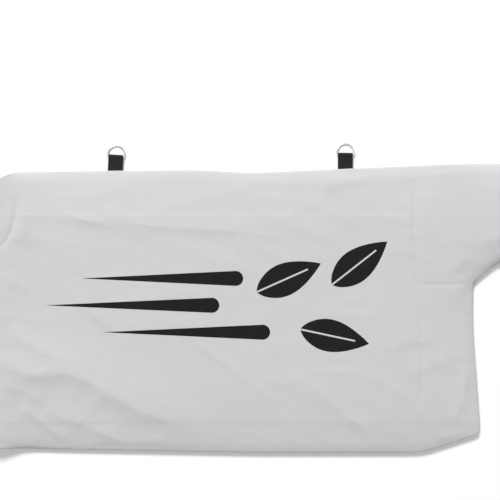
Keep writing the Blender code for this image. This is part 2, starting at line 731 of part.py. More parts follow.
def make_slider(front_end):
    """Two plates joined by a wedge between the rows, flanged over the beads, with a bridge for the pull."""
    inner = TOOTH_THICK / 2 + TOOTH_GAP
    carriage = empty("slider_carriage", (0, front_end, 0), ZIP_LINE)
    slider = part(
        "zip_slider",
        box_mesh((-inner - MM / 2, inner + MM / 2), (-SLIDER_WEDGE - MM, -MM), (-MM, MM)),
        MATERIALS["zip_metal"],
        carriage,
    )
    flange = CHAIN_HALF + TOOTH_GAP
    for side in (-1, 1):
        profile = slider_plate(SLIDER_LENGTH, SLIDER_HALF - 0.3 * MM, SLIDER_HALF)
        plate = helper(f"slider_plate_{side}", prism_mesh(profile, SLIDER_PLATE), carriage)
        plate.location.x = side * (inner + SLIDER_PLATE / 2)
        boolean(slider, plate, "UNION")
        for edge in (-1, 1):
            lip = box_mesh(
                sorted((side * (TAPE_THICK / 2 + TOOTH_GAP), side * (inner + MM / 2))),
                (-SLIDER_LENGTH + MM / 2, -SLIDER_WEDGE),
                sorted((edge * flange, edge * (SLIDER_HALF - 0.35 * MM))),
            )
            boolean(slider, helper(f"slider_lip_{side}_{edge}", lip, carriage), "UNION")
    mid = -SLIDER_LENGTH / 2
    span = (mid - BRIDGE_LENGTH / 2, mid + BRIDGE_LENGTH / 2)
    width = (-BRIDGE_WIDTH / 2, BRIDGE_WIDTH / 2)
    face = -SLIDER_OUTER
    bridge = helper(
        "slider_bridge",
        box_mesh((face - BRIDGE_ROOM - BRIDGE_THICK, face + MM / 2), span, width),
        carriage,
    )
    inside = (span[0] + BRIDGE_THICK, span[1] - BRIDGE_THICK)
    room = helper(
        "slider_bridge_room",
        box_mesh((face - BRIDGE_ROOM, face), inside, (-BRIDGE_WIDTH, BRIDGE_WIDTH)),
        carriage,
    )
    bevel(bridge, 0.5 * MM)
    boolean(bridge, room, "DIFFERENCE")
    boolean(slider, bridge, "UNION")
    make_pull(empty("pull_hinge", (face - CLEARANCE - PULL_THICK / 2, mid, 0), carriage))


def make_pull(hinge):
    """A flat pull whose end bar lies under the bridge, hanging towards the zip's other end."""
    bar = PULL_THICK / 2
    window = (BRIDGE_LENGTH / 2 + 1.2 * MM, BRIDGE_WIDTH / 2 + 0.4 * MM)
    tip = PULL_LENGTH
    half = PULL_WIDTH / 2
    root = half - 0.5 * MM
    upper = [
        (bar, root),
        (-PULL_WAIST, root),
        (-PULL_WAIST - 4 * MM, half),
        (-tip + PULL_CORNER, half),
        (-tip, half - PULL_CORNER),
    ]
    profile = upper + [(y, -z) for y, z in reversed(upper)]
    pull = part("zip_pull", prism_mesh(profile, PULL_THICK), MATERIALS["zip_metal"], hinge)
    eye = box_mesh((-PULL_THICK, PULL_THICK), (-window[0] - bar, -bar), (-window[1], window[1]))
    boolean(pull, helper("pull_eye", eye, hinge), "DIFFERENCE")
    bevel(pull, 0.25 * MM, 1)


def neck_section(offset):
    """Outline of the neck at its strap, (y, z) from its top middle, grown outwards."""
    spread = [NECK_LOW + reach for reach in SECTION_STEPS]
    across = spread + [NECK_MID] + [2 * NECK_MID - y for y in reversed(spread)]
    top = [(y, front_height(STRAP_X, y)) for y in across]
    low_side = [NECK_LOW, NECK_LOW + CURL / 3, NECK_LOW + CURL]
    under = low_side + [NECK_MID] + [2 * NECK_MID - y for y in reversed(low_side)]
    bottom = [(y, back_height(STRAP_X, y)) for y in under]
    middle = across.index(NECK_MID)
    ring = [Vector(p) for p in reversed(top[: middle + 1])]
    ring += [Vector(p) for p in bottom]
    ring += [Vector(p) for p in reversed(top[middle + 1 :])]
    grown = []
    for i, here in enumerate(ring):
        into = (here - ring[i - 1]).normalized()
        out = (ring[(i + 1) % len(ring)] - here).normalized()
        normal = Vector((into.y + out.y, -into.x - out.x)).normalized()
        miter = max(normal.dot(Vector((into.y, -into.x))), 0.7)
        grown.append(here - normal * (-offset / miter))
    return grown


def make_cuff():
    """A doubled band sewn round the mouth of the neck."""
    mesh = bmesh.new()
    ring = [mesh.verts.new((MOUTH_X - CUFF_WIDTH, p.x, p.y)) for p in neck_section(CLEARANCE)]
    edges = [mesh.edges.new(pair) for pair in zip(ring, ring[1:] + ring[:1])]
    made = bmesh.ops.extrude_edge_only(mesh, edges=edges)["geom"]
    bmesh.ops.translate(
        mesh, verts=[g for g in made if isinstance(g, bmesh.types.BMVert)], vec=(CUFF_WIDTH, 0, 0)
    )
    bmesh.ops.recalc_face_normals(mesh, faces=mesh.faces)
    cuff = part("neck_cuff", mesh, MATERIALS["cloth"], LAYOUT)
    solidify(cuff, CUFF_THICK, 1)


def strap_route():
    """Centreline of the strap, (y, z), from its sewn end on the buckle's bar to its loose tail.

    It goes once round the neck, then over the buckle's base plate and under the cam.
    """
    ground = CLEARANCE + CUFF_THICK + CLEARANCE + STRAP_THICK / 2
    ring = neck_section(ground)
    top_z = ring[0].y
    bar_y, bar_z = bar_place()
    bend = BAR_RADIUS + CLEARANCE + STRAP_THICK / 2
    ply = STRAP_THICK + CLEARANCE
    start, steps = math.radians(112), 10
    turn = [start - 2 * start * k / steps for k in range(steps + 1)]
    sewn = [(bar_y - SEWN_END, top_z + ply), (bar_y - SEWN_END / 2, top_z + 1.25 * ply)]
    sewn += [(bar_y + bend * math.cos(a), bar_z + bend * math.sin(a)) for a in turn]
    sewn += [(bar_y - SEWN_END / 2, top_z + 0.1 * ply), (bar_y - SEWN_END, top_z)]
    clear = (bar_y - SEWN_END - 2 * MM, NECK_MID + BUCKLE_CLEAR)
    around = [tuple(p) for p in ring[1:] if not (clear[0] <= p.x < clear[1] and p.y > LOFT / 2)]
    deck = buckle_deck() + CLEARANCE + STRAP_THICK / 2
    base_end = NECK_MID + BUCKLE_BASE_LENGTH / 2
    through = [(2 * base_end - NECK_MID, top_z + 0.3 * ply), (base_end + 2 * MM, deck)]
    through += [(bar_y + DECK_LEAVE, deck), (bar_y + DECK_LEAVE - 3 * MM, deck + MM)]
    over = bend + ply
    through += [
        (bar_y + over * math.cos(a), bar_z + over * math.sin(a))
        for a in [math.radians(v) for v in (38, 62, 86, 106)]
    ]
    tail_ring = neck_section(ground + 2 * ply)
    tail = [(bar_y - SEWN_END / 2, top_z + 2.35 * ply), (bar_y - SEWN_END, top_z + 2 * ply)]
    span = (NECK_MID - STRAP_TAIL, bar_y - SEWN_END - 2 * MM)
    tail += [tuple(p) for p in tail_ring[1:] if span[0] < p.x < span[1] and p.y > LOFT / 2]
    return sewn + around + through + tail


def buckle_deck():
    """Height of the base plate's upper face."""
    return neck_section(CLEARANCE + CUFF_THICK + CLEARANCE)[0].y + BUCKLE_BASE


def bar_place():
    """(y, z) of the buckle's fixed bar, which the strap's sewn end goes round."""
    loop = BAR_RADIUS + CLEARANCE + STRAP_THICK
    return NECK_MID - BUCKLE_BASE_LENGTH / 2 - 4 * MM, buckle_deck() - BUCKLE_BASE + loop


def make_strap():
    band = strip_mesh(strap_route(), WEBBING)
    strap = part("neck_strap", band, MATERIALS["webbing"], LAYOUT, (STRAP_X, 0, 0))
    solidify(strap, STRAP_THICK, 0)


def make_buckle():
    """Cam buckle: a channel frame with a fixed bar, and a lever whose cam bears on the strap."""
    deck = buckle_deck()
    bar_y, bar_z = bar_place()
    seat = empty("buckle_seat", (STRAP_X, NECK_MID, deck), LAYOUT)
    inner = WEBBING / 2 + 0.4 * MM
    outer = inner + BUCKLE_CHEEK
    half = BUCKLE_BASE_LENGTH / 2
    pin_z = CLEARANCE + STRAP_THICK + CLEARANCE + CAM_RADIUS
    frame = part(
        "buckle_frame", box_mesh((-outer, outer), (-half, half), (-BUCKLE_BASE, 0)), MATERIALS["steel"], seat
    )
    rear = bar_y - NECK_MID - BAR_RADIUS - 1.2 * MM
    cheek_profile = [
        (rear, bar_z - deck - 2 * MM),
        (-half, -BUCKLE_BASE),
        (half, -BUCKLE_BASE),
        (half, 1.5 * MM),
        (half - 6 * MM, pin_z + 2.2 * MM),
        (-4 * MM, pin_z + 2.2 * MM),
        (rear, bar_z - deck + 2.2 * MM),
    ]
    for side in (-1, 1):
        cheek = helper(f"buckle_cheek_{side}", prism_mesh(cheek_profile, BUCKLE_CHEEK), seat)
        cheek.location.x = side * (inner + BUCKLE_CHEEK / 2)
        boolean(frame, cheek, "UNION")
    bar = helper("buckle_bar", rod_mesh(BAR_RADIUS, outer - 0.2 * MM), seat)
    bar.location = (0, bar_y - NECK_MID, bar_z - deck)
    boolean(frame, bar, "UNION")
    pivot = empty("lever_hinge", (0, 0, pin_z), seat)
    hole = helper("buckle_pin_hole", rod_mesh(PIN_RADIUS + CLEARANCE, outer + MM), pivot)
    boolean(frame, hole, "DIFFERENCE")
    make_pin(pivot, outer)
    make_lever(pivot, inner - CLEARANCE)


def make_pin(pivot, outer):
    """The lever's pin, with a flat head outside each cheek."""
    pin = part("buckle_pin", rod_mesh(PIN_RADIUS, outer + 0.9 * MM), MATERIALS["steel"], pivot)
    for side in (-1, 1):
        head = helper(f"pin_head_{side}", rod_mesh(2 * PIN_RADIUS, 0.35 * MM), pivot)
        head.location.x = side * (outer + CLEARANCE + 0.35 * MM)
        boolean(pin, head, "UNION")


def make_lever(pivot, half_width):
    """Lever and cam in one. The cam is highest under the pin, so a raised lever frees the strap."""
    top = CAM_RADIUS - 0.4 * MM
    cam = []
    for k in range(13):
        a = math.radians(100 + 20 * k)
        radius = CAM_RADIUS - CAM_RELIEF * smooth((math.radians(270) - a) / math.radians(90))
        cam.append((radius * math.cos(a), radius * math.sin(a)))
    handle = [(6 * MM, top - LEVER_THICK), (LEVER_LENGTH - 4 * MM, top - LEVER_THICK)]
    handle += [(LEVER_LENGTH, top - LEVER_THICK + 1.6 * MM), (LEVER_LENGTH, top + 1.6 * MM)]
    handle += [(LEVER_LENGTH - 4.5 * MM, top), (0, top)]
    profile = [p for p in cam if p[1] < top - 0.05 * MM] + handle
    lever = part("buckle_lever", prism_mesh(profile, 2 * half_width), MATERIALS["steel"], pivot)
    hole = helper("lever_pin_hole", rod_mesh(PIN_RADIUS + CLEARANCE, half_width + MM), pivot)
    boolean(lever, hole, "DIFFERENCE")


def make_keepers():
    """Low webbing bridges sewn to the cuff on both sides of the buckle, to guide the strap and its tail."""
    for name, side, plies in (("upper", 1, 1), ("lower", -1, 3)):
        y = NECK_MID + side * KEEPER_Y
        near, far = (section_top(y + d) for d in (-KEEPER_WIDTH / 2, KEEPER_WIDTH / 2))
        slope = math.atan2(far - near, KEEPER_WIDTH)
        foot_z = WEBBING_THICK / 2 + CLEARANCE
        roof_z = foot_z + plies * (STRAP_THICK + CLEARANCE) + 0.6 * MM
        half = WEBBING / 2 + WEBBING_THICK / 2 + 0.8 * MM
        end = half + KEEPER_FOOT
        right = [(half, roof_z), (half, foot_z), (end, foot_z)]
        route = [(-x, z) for x, z in reversed(right)] + right
        mesh = strip_mesh(route, KEEPER_WIDTH)
        bmesh.ops.rotate(mesh, verts=mesh.verts, matrix=Matrix.Rotation(math.radians(90), 3, "Z"))
        keeper = part(
            f"strap_keeper_{name}",
            mesh,
            MATERIALS["webbing"],
            LAYOUT,
            (STRAP_X, y, (near + far) / 2),
            (slope, 0, 0),
        )
        solidify(keeper, WEBBING_THICK, 0)


def section_top(y):
    """Height of the cuff's upper face over a point across the neck."""
    ring = neck_section(CLEARANCE + CUFF_THICK)
    for a, b in zip(ring, ring[1:] + ring[:1]):
        if min(a.x, b.x) <= y <= max(a.x, b.x) and a.y > LOFT / 2 and a.x != b.x:
            return a.y + (b.y - a.y) * (y - a.x) / (b.x - a.x)
    return ring[0].y


def clear_scene():
    for old in list(bpy.data.objects):
        bpy.data.objects.remove(old)


clear_scene()
PARTS = collection("collection_bag")
CUTTERS = collection("cutters")
MATERIALS = {
    "cloth": material("cloth", (0.62, 0.62, 0.635), 0.9),
    "ink": material("ink", (0.012, 0.012, 0.014), 0.55),
    "webbing": material("webbing", (0.018, 0.018, 0.018), 0.85),
    "steel": material("steel", (0.75, 0.75, 0.76), 0.2, 1),
    "zip": material("zip", (0.02, 0.02, 0.022), 0.6),
    "zip_metal": material("zip_metal", (0.05, 0.05, 0.055), 0.4, 0.8),
    "helper": material("helper", (1, 0.3, 0.1), 0.5),
}
RING_TOP = max(top_edge_y(OUTLINE, x) for x in TAB_XS) + TAB_REACH - LOOP_RADIUS - WEBBING_THICK / 2
RING_TOP += RING_HEIGHT + RING_WIRE / 2
LEFT_END = ZIP_X - SLIDER_OUTER - BRIDGE_ROOM - BRIDGE_THICK
LAYOUT = empty("bag_layout", (-(LEFT_END + MOUTH_X) / 2, -RING_TOP / 2, 0))
ZIP_LINE = empty("zip_line", (ZIP_X, ZIP_MID_Y, ZIP_Z), LAYOUT)
make_panels()
make_print()
make_tabs()
make_zip()
make_cuff()
make_strap()
make_buckle()
make_keepers()
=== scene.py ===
# Cloth collection bag of a hand-held vacuum shredder, empty and laid flat on a white table.
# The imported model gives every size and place; this script gives the cloth, webbing and metal their looks.
import json
import math

import bmesh
import bpy
from mathutils import Matrix, Vector, kdtree, noise
from mathutils.bvhtree import BVHTree


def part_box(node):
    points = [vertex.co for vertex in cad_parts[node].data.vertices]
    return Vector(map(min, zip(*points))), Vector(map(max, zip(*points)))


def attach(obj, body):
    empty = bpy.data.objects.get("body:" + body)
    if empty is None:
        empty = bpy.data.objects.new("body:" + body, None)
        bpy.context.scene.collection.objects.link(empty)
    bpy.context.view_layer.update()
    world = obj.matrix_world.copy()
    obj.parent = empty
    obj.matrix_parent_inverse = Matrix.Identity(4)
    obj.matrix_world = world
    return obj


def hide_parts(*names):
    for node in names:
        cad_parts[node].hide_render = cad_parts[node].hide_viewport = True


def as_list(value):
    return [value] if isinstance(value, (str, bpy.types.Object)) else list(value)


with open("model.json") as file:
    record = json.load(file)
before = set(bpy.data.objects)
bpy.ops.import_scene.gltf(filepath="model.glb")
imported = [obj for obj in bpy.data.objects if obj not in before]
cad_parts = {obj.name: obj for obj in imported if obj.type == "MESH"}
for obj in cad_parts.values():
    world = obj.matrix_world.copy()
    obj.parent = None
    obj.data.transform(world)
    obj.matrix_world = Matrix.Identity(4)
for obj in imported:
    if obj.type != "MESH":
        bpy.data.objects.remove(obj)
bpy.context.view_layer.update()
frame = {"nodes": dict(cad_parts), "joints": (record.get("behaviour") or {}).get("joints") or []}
mm = 0.001
sharpAngle = math.radians(40)  # edges that bend more than this are shaded sharp
nodes = frame["nodes"]
joints = {joint["name"]: joint for joint in frame["joints"]}
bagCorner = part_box("front_panel")[0].xy  # lower left corner of the bag's plan
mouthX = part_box("front_panel")[1].x


def plan(x, y):
    # a point of the bag's plan, in millimetres from its lower left corner
    return bagCorner + Vector((x, y)) * mm


def smoothStep(t):
    t = min(max(t, 0.0), 1.0)
    return t * t * (3 - 2 * t)


# Materials

def feed(node, inputs):
    # sets a node's inputs to values, or links them to other nodes' sockets
    for key, value in inputs.items():
        if isinstance(value, bpy.types.NodeSocket):
            node.id_data.links.new(value, node.inputs[key])
        else:
            node.inputs[key].default_value = value


def adder(tree):
    def add(kind, inputs=None, **settings):
        node = tree.nodes.new(kind)
        for key, value in settings.items():
            setattr(node, key, value)
        feed(node, inputs or {})
        return node

    return add


def nodeMaker(name):
    # a material with its shader, and short ways to add a node and a sum
    made = bpy.data.materials.new(name)
    made.use_nodes = True
    add = adder(made.node_tree)

    def calc(operation, first, second=0.0):
        return add("ShaderNodeMath", {0: first, 1: second}, operation=operation).outputs[0]

    return made, made.node_tree.nodes["Principled BSDF"], add, calc


def weighed(calc, *terms):
    # the sum of values, each times its weight
    shares = [value if weight == 1 else calc("MULTIPLY", value, weight) for value, weight in terms]
    total = shares[0]
    for share in shares[1:]:
        total = calc("ADD", total, share)
    return total


def noiseOf(add, vector, scale, detail=2.0, rough=0.5):
    inputs = {"Vector": vector, "Scale": scale, "Detail": detail, "Roughness": rough}
    return add("ShaderNodeTexNoise", inputs).outputs["Fac"]


def stretched(add, vector, scale):
    # the same coordinates with their own scale along each axis
    return add("ShaderNodeMapping", {"Vector": vector, "Scale": scale}).outputs[0]


def between(add, value, low, high, start=0.0, end=1.0, **how):
    inputs = {"Value": value, "From Min": start, "From Max": end, "To Min": low, "To Max": high}
    return add("ShaderNodeMapRange", inputs, **how).outputs[0]


def blendColour(add, amount, first, second):
    inputs = {"Factor": amount, 6: (*first, 1), 7: (*second, 1)}
    return add("ShaderNodeMix", inputs, data_type="RGBA").outputs[2]


def bumpOf(add, height, distance):
    return add("ShaderNodeBump", {"Height": height, "Distance": distance, "Strength": 1.0}).outputs[0]


def cutPlace(add):
    # where a point lies on its flat sheet or strip, and the same by axis
    cut = add("ShaderNodeAttribute", attribute_name="cut").outputs["Vector"]
    return cut, add("ShaderNodeSeparateXYZ", {"Vector": cut}).outputs


def waves(calc, first, second, pitch):
    # threads that cross, from one to the next but one
    turns = 2 * math.pi / pitch
    one, other = (calc("SINE", calc("MULTIPLY", along, turns)) for along in (first, second))
    return calc("MULTIPLY", one, other)


clothLook = {
    "colour": (0.655, 0.655, 0.668),
    "shade": (0.585, 0.585, 0.605),
    "thread": 0.9 * mm,
    "weaveDepth": 0.10 * mm,
    "slubDepth": 0.05 * mm,
    "slubRun": 40,  # noise scale along a thread
    "toneRange": (0.45, 1.55),
    "roughness": 0.88,
    "sheen": 0.12,
}


def makeCloth(name, settings):
    made, shader, add, calc = nodeMaker(name)
    cut, place = cutPlace(add)
    over = waves(calc, place["X"], place["Y"], settings["thread"])
    fine, run = 1 / settings["thread"], settings["slubRun"]
    slubAcross = noiseOf(add, stretched(add, cut, (run, fine, 1)), 1.0, 3.0, 0.6)
    slubAlong = noiseOf(add, stretched(add, cut, (fine, run, 1)), 1.0, 3.0, 0.6)
    slub = calc("ADD", slubAcross, slubAlong)
    clouds = noiseOf(add, cut, 9.0, 3.0, 0.55)
    dust = noiseOf(add, cut, 140.0, 2.0, 0.7)
    tone = weighed(calc, (over, 0.16), (slub, 0.55), (clouds, 0.5), (dust, 0.25))
    amount = between(add, tone, 0.0, 1.0, *settings["toneRange"])
    relief = weighed(calc, (over, 0.5), (slub, settings["slubDepth"] / settings["weaveDepth"]))
    feed(shader, {
        "Base Color": blendColour(add, amount, settings["shade"], settings["colour"]),
        "Roughness": between(add, clouds, settings["roughness"] - 0.05, settings["roughness"] + 0.06),
        "Normal": bumpOf(add, relief, settings["weaveDepth"]),
        "Sheen Weight": settings["sheen"],
        "Sheen Roughness": 0.6,
        "Specular IOR Level": 0.25,
    })
    return made


inkLook = {
    "colour": (0.0045, 0.0045, 0.0055),
    "speck": (0.06, 0.06, 0.062),
    "speckRange": (0.86, 1.04),
    "thread": 0.9 * mm,
    "depth": 0.07 * mm,
    "roughness": 0.62,
}


def makeInk(name, settings):
    # thick screen print: the weave still shows, and bare specks are left where threads stand high
    made, shader, add, calc = nodeMaker(name)
    cut, place = cutPlace(add)
    over = waves(calc, place["X"], place["Y"], settings["thread"])
    grain = noiseOf(add, cut, 900.0, 2.0, 0.65)
    patch = noiseOf(add, cut, 28.0, 3.0, 0.6)
    bare = weighed(calc, (over, 0.10), (grain, 1), (patch, 0.45))
    amount = between(add, bare, 0.0, 1.0, *settings["speckRange"])
    feed(shader, {
        "Base Color": blendColour(add, amount, settings["colour"], settings["speck"]),
        "Roughness": between(add, grain, settings["roughness"] - 0.1, settings["roughness"] + 0.15),
        "Normal": bumpOf(add, weighed(calc, (over, 0.5), (grain, 1)), settings["depth"]),
        "Specular IOR Level": 0.15,
    })
    return made


webbingLook = {
    "colour": (0.0075, 0.0075, 0.008),
    "lit": (0.017, 0.017, 0.018),
    "litRange": (0.15, 1.1),
    "rib": 1.25 * mm,  # warp ribs along the webbing
    "row": 1.7 * mm,  # weft rows across it
    "chevron": 6.25 * mm,
    "lean": 0.9,  # of the rows
    "depth": 0.28 * mm,
    "roughness": 0.72,
}


def makeWebbing(name, settings):
    made, shader, add, calc = nodeMaker(name)
    cut, place = cutPlace(add)
    ribs = calc("ABSOLUTE", calc("SINE", calc("MULTIPLY", place["X"], math.pi / settings["rib"])))
    slant = calc("PINGPONG", place["X"], settings["chevron"])
    along = weighed(calc, (place["Y"], 1), (slant, settings["lean"]))
    rows = calc("SINE", calc("MULTIPLY", along, 2 * math.pi / settings["row"]))
    fuzz = noiseOf(add, cut, 1500.0, 2.0, 0.7)
    height = weighed(calc, (ribs, 0.55), (rows, 0.28), (fuzz, 0.2))
    amount = between(add, height, 0.0, 1.0, *settings["litRange"])
    feed(shader, {
        "Base Color": blendColour(add, amount, settings["colour"], settings["lit"]),
        "Normal": bumpOf(add, height, settings["depth"]),
        "Roughness": settings["roughness"],
        "Specular IOR Level": 0.22,
    })
    return made


metalLooks = {
    "bright_nickel": {
        "colour": (0.66, 0.66, 0.67), "roughness": 0.14, "wear": 0.16, "grain": 260.0, "depth": 0.015 * mm
    },
    "satin_zinc": {
        "colour": (0.60, 0.605, 0.62), "roughness": 0.30, "wear": 0.18, "grain": 420.0, "depth": 0.03 * mm
    },
    "black_lacquer": {
        "colour": (0.022, 0.022, 0.024), "roughness": 0.34, "wear": 0.2, "grain": 500.0, "depth": 0.03 * mm
    },
}


def makeMetal(name, metallic=1.0):
    settings = metalLooks[name]
    made, shader, add, _ = nodeMaker(name)
    place = add("ShaderNodeTexCoord").outputs["Object"]
    scratch = noiseOf(add, stretched(add, place, (1.0, 7.0, 1.0)), settings["grain"], 4.0, 0.65)
    stain = noiseOf(add, place, settings["grain"] * 0.25, 3.0, 0.6)
    dull = [v * 0.78 for v in settings["colour"]]
    amount = between(add, stain, 0.0, 1.0, 0.35, 0.7)
    low, high = settings["roughness"] * 0.75, settings["roughness"] + settings["wear"]
    feed(shader, {
        "Base Color": blendColour(add, amount, settings["colour"], dull),
        "Roughness": between(add, scratch, low, high, 0.3, 0.75),
        "Normal": bumpOf(add, scratch, settings["depth"]),
        "Metallic": metallic,
    })
    return made


blackPlastic = {
    "colour": (0.019, 0.019, 0.021), "lit": (0.04, 0.04, 0.043), "roughness": 0.42, "depth": 0.05 * mm
}
palePlastic = {"colour": (0.50, 0.50, 0.51), "lit": (0.62, 0.62, 0.63), "roughness": 0.7, "depth": 0.04 * mm}


def makePlastic(name, settings, woven=False):
    # moulded teeth and thread, or the woven tape that the teeth sit on
    made, shader, add, calc = nodeMaker(name)
    place = add("ShaderNodeTexCoord").outputs["Object"]
    grain = noiseOf(add, place, 1400.0, 2.0, 0.6)
    relief, rough = grain, settings["roughness"]
    if woven:
        axes = add("ShaderNodeSeparateXYZ", {"Vector": place}).outputs
        relief = calc("ADD", waves(calc, axes["Z"], axes["Y"], 0.7 * mm), grain)
        rough += 0.35
    amount = between(add, relief, 0.0, 1.0, 0.1, 1.2)
    feed(shader, {
        "Base Color": blendColour(add, amount, settings["colour"], settings["lit"]),
        "Roughness": between(add, grain, rough - 0.08, rough + 0.12),
        "Normal": bumpOf(add, relief, settings["depth"]),
    })
    return made


cloth = makeCloth("woven_cloth", clothLook)
ink = makeInk("screen_print", inkLook)
webbing = makeWebbing("ribbed_webbing", webbingLook)
nickel = makeMetal("bright_nickel")
zinc = makeMetal("satin_zinc")
lacquer = makeMetal("black_lacquer", 0.6)
moulded = makePlastic("moulded_teeth", blackPlastic)
tape = makePlastic("zip_tape", blackPlastic, True)
thread = makePlastic("dark_thread", {**blackPlastic, "roughness": 0.6})
paleThread = makePlastic("pale_thread", palePlastic)
print("materials made")


# Pieces

def link(name, data):
    piece = bpy.data.objects.new(name, data)
    bpy.context.scene.collection.objects.link(piece)
    return piece


def meshData(name, mesh):
    data = bpy.data.meshes.new(name)
    mesh.to_mesh(data)
    mesh.free()
    return data


def vertsOf(items):
    return [item for item in items if isinstance(item, bmesh.types.BMVert)]


def finishPiece(name, mesh, look, body, replaced=()):
    data = meshData(name, mesh)
    data.materials.append(look)
    data.shade_smooth()
    piece = link(name, data)
    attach(piece, body)
    if replaced:
        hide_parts(*replaced)
    return piece


def addSolidify(piece, thickness, offset):
    modifier = piece.modifiers.new("thickness", "SOLIDIFY")
    modifier.thickness = thickness
    modifier.offset = offset
    modifier.use_even_offset = True


def evaluated(mesh, modify):
    # the bmesh with modifiers applied, as a new bmesh
    data = meshData("working", mesh)
    holder = link("working", data)
    modify(holder)
    bpy.context.view_layer.update()
    result = bmesh.new()
    shaped = holder.evaluated_get(bpy.context.evaluated_depsgraph_get())
    result.from_mesh(shaped.to_mesh())
    bpy.data.objects.remove(holder)
    bpy.data.meshes.remove(data)
    return result


def subdivided(mesh, levels):
    def modify(holder):
        modifier = holder.modifiers.new("subdivision", "SUBSURF")
        modifier.levels = levels
        modifier.render_levels = levels

    return evaluated(mesh, modify)


def mergedCopy(node):
    # a CAD node's triangles joined into one surface
    mesh = bmesh.new()
    mesh.from_mesh(nodes[node].data)
    bmesh.ops.remove_doubles(mesh, verts=mesh.verts, dist=0.002 * mm)
    return mesh


def tie(ties, edge):
    a, b = edge.verts
    ties.setdefault(a, []).append(b)
    ties.setdefault(b, []).append(a)


def walk(ties, start):
    # the vertices tied to each other, from one to the last or until the walk is round
    chain, before = [start], None
    while len(chain) <= len(ties):
        onward = [vert for vert in ties[chain[-1]] if vert is not before]
        if not onward or onward[0] is start:
            break
        before = chain[-1]
        chain.append(onward[0])
    return chain


def pathLength(points):
    return sum((b - a).length for a, b in zip(points, points[1:]))


def seamLoop(node, flangeUp):
    # the fold between a panel's low wall and its turned-in allowance, from the mouth's lower end to its upper
    mesh = mergedCopy(node)
    ties = {}
    for edge in mesh.edges:
        if len(edge.link_faces) != 2:
            continue
        flange, wall = sorted(edge.link_faces, key=lambda face: -abs(face.normal.z))
        heights = [vert.co.z for vert in wall.verts]
        isFlange = flange.normal.z * flangeUp > 0.9
        if isFlange and abs(wall.normal.z) < 0.3 and max(heights) - min(heights) > 1 * mm:
            tie(ties, edge)
    ends = [vert for vert in ties if len(ties[vert]) == 1]
    longest = max(([vert.co.copy() for vert in walk(ties, end)] for end in ends), key=pathLength)
    mesh.free()
    return longest if longest[0].y < longest[-1].y else longest[::-1]


clothShape = {
    "pitch": 8 * mm,
    "beyond": 24 * mm,  # how far the sheets run past the mouth before they are cut there
    "rings": (1.4, 3.4, 6.5, 11.0),  # distances from the edge, in millimetres
    "thickness": 0.6 * mm,
    "allowance": 6.5 * mm,
    "evenings": 70,
}
# Heights of the CAD panel, and those of the cloth where it has sunk between the zip and the neck
sinking = {
    "edgeTop": 7.2 * mm,
    "zipTop": 24.7 * mm,
    "middle": 26.5 * mm,
    "lift": 3.0 * mm,  # at the neck, for the strap below it
    "zipRun": 150 * mm,
    "neckFrom": 792 * mm,
    "neckRun": 80 * mm,
    "sunkMiddle": 17 * mm,
    "sunkZipRun": 62 * mm,
    "sunkNeckFrom": 848 * mm,
    "sunkNeckRun": 62 * mm,
}


def flatSheet(loop):
    # the panel's plan as quads: rings that follow the edge, and a grid inside them
    mesh = bmesh.new()
    past = Vector((clothShape["beyond"], 0, 0))
    points = [loop[0] + past] + loop + [loop[-1] + past]
    rim = mesh.verts.layers.float.new("rim")
    verts = []
    for point in reversed(points):
        verts.append(mesh.verts.new((point.x, point.y, 0)))
        verts[-1][rim] = point.z
    middle = mesh.faces.new(verts)
    middle.normal_update()
    long = [edge for edge in mesh.edges if edge.calc_length() > 1.5 * clothShape["pitch"]]
    for edge in long:
        cuts = round(edge.calc_length() / clothShape["pitch"]) - 1
        bmesh.ops.subdivide_edges(mesh, edges=[edge], cuts=max(cuts, 1))
    inside = [vert for vert in mesh.verts if vert.co.x < mouthX - 1 * mm]
    for _ in range(3):
        bmesh.ops.smooth_vert(mesh, verts=inside, factor=0.5, use_axis_x=True, use_axis_y=True)
    before = 0.0
    for distance in clothShape["rings"]:
        bmesh.ops.inset_region(
            mesh, faces=[middle], thickness=(distance - before) * mm, use_even_offset=True, use_boundary=True
        )
        before = distance
    middle.material_index = 1
    low = Vector((min(v.co.x for v in mesh.verts), min(v.co.y for v in mesh.verts), 0))
    high = Vector((max(v.co.x for v in mesh.verts), max(v.co.y for v in mesh.verts), 0))
    for axis in range(2):
        normal = Vector((axis == 0, axis == 1, 0))
        for k in range(1, int((high[axis] - low[axis]) / clothShape["pitch"])):
            faces = [face for face in mesh.faces if face.material_index == 1]
            edges = list(dict.fromkeys(edge for face in faces for edge in face.edges))
            near = list(dict.fromkeys(vert for face in faces for vert in face.verts))
            spot = low + normal * (k * clothShape["pitch"])
            bmesh.ops.bisect_plane(
                mesh, geom=near + edges + faces, dist=0.05 * mm, plane_co=spot, plane_no=normal
            )
    for face in mesh.faces:
        face.material_index = 0
    free = [vert for vert in mesh.verts if not vert.is_boundary]
    for _ in range(2):
        bmesh.ops.smooth_vert(mesh, verts=free, factor=0.35, use_axis_x=True, use_axis_y=True)
    return mesh


def groundHit(tree, x, y, fromZ, down):
    hit = tree.ray_cast(Vector((min(x, mouthX - 0.4 * mm), y, fromZ)), Vector((0, 0, down)))[0]
    return None if hit is None else hit.z


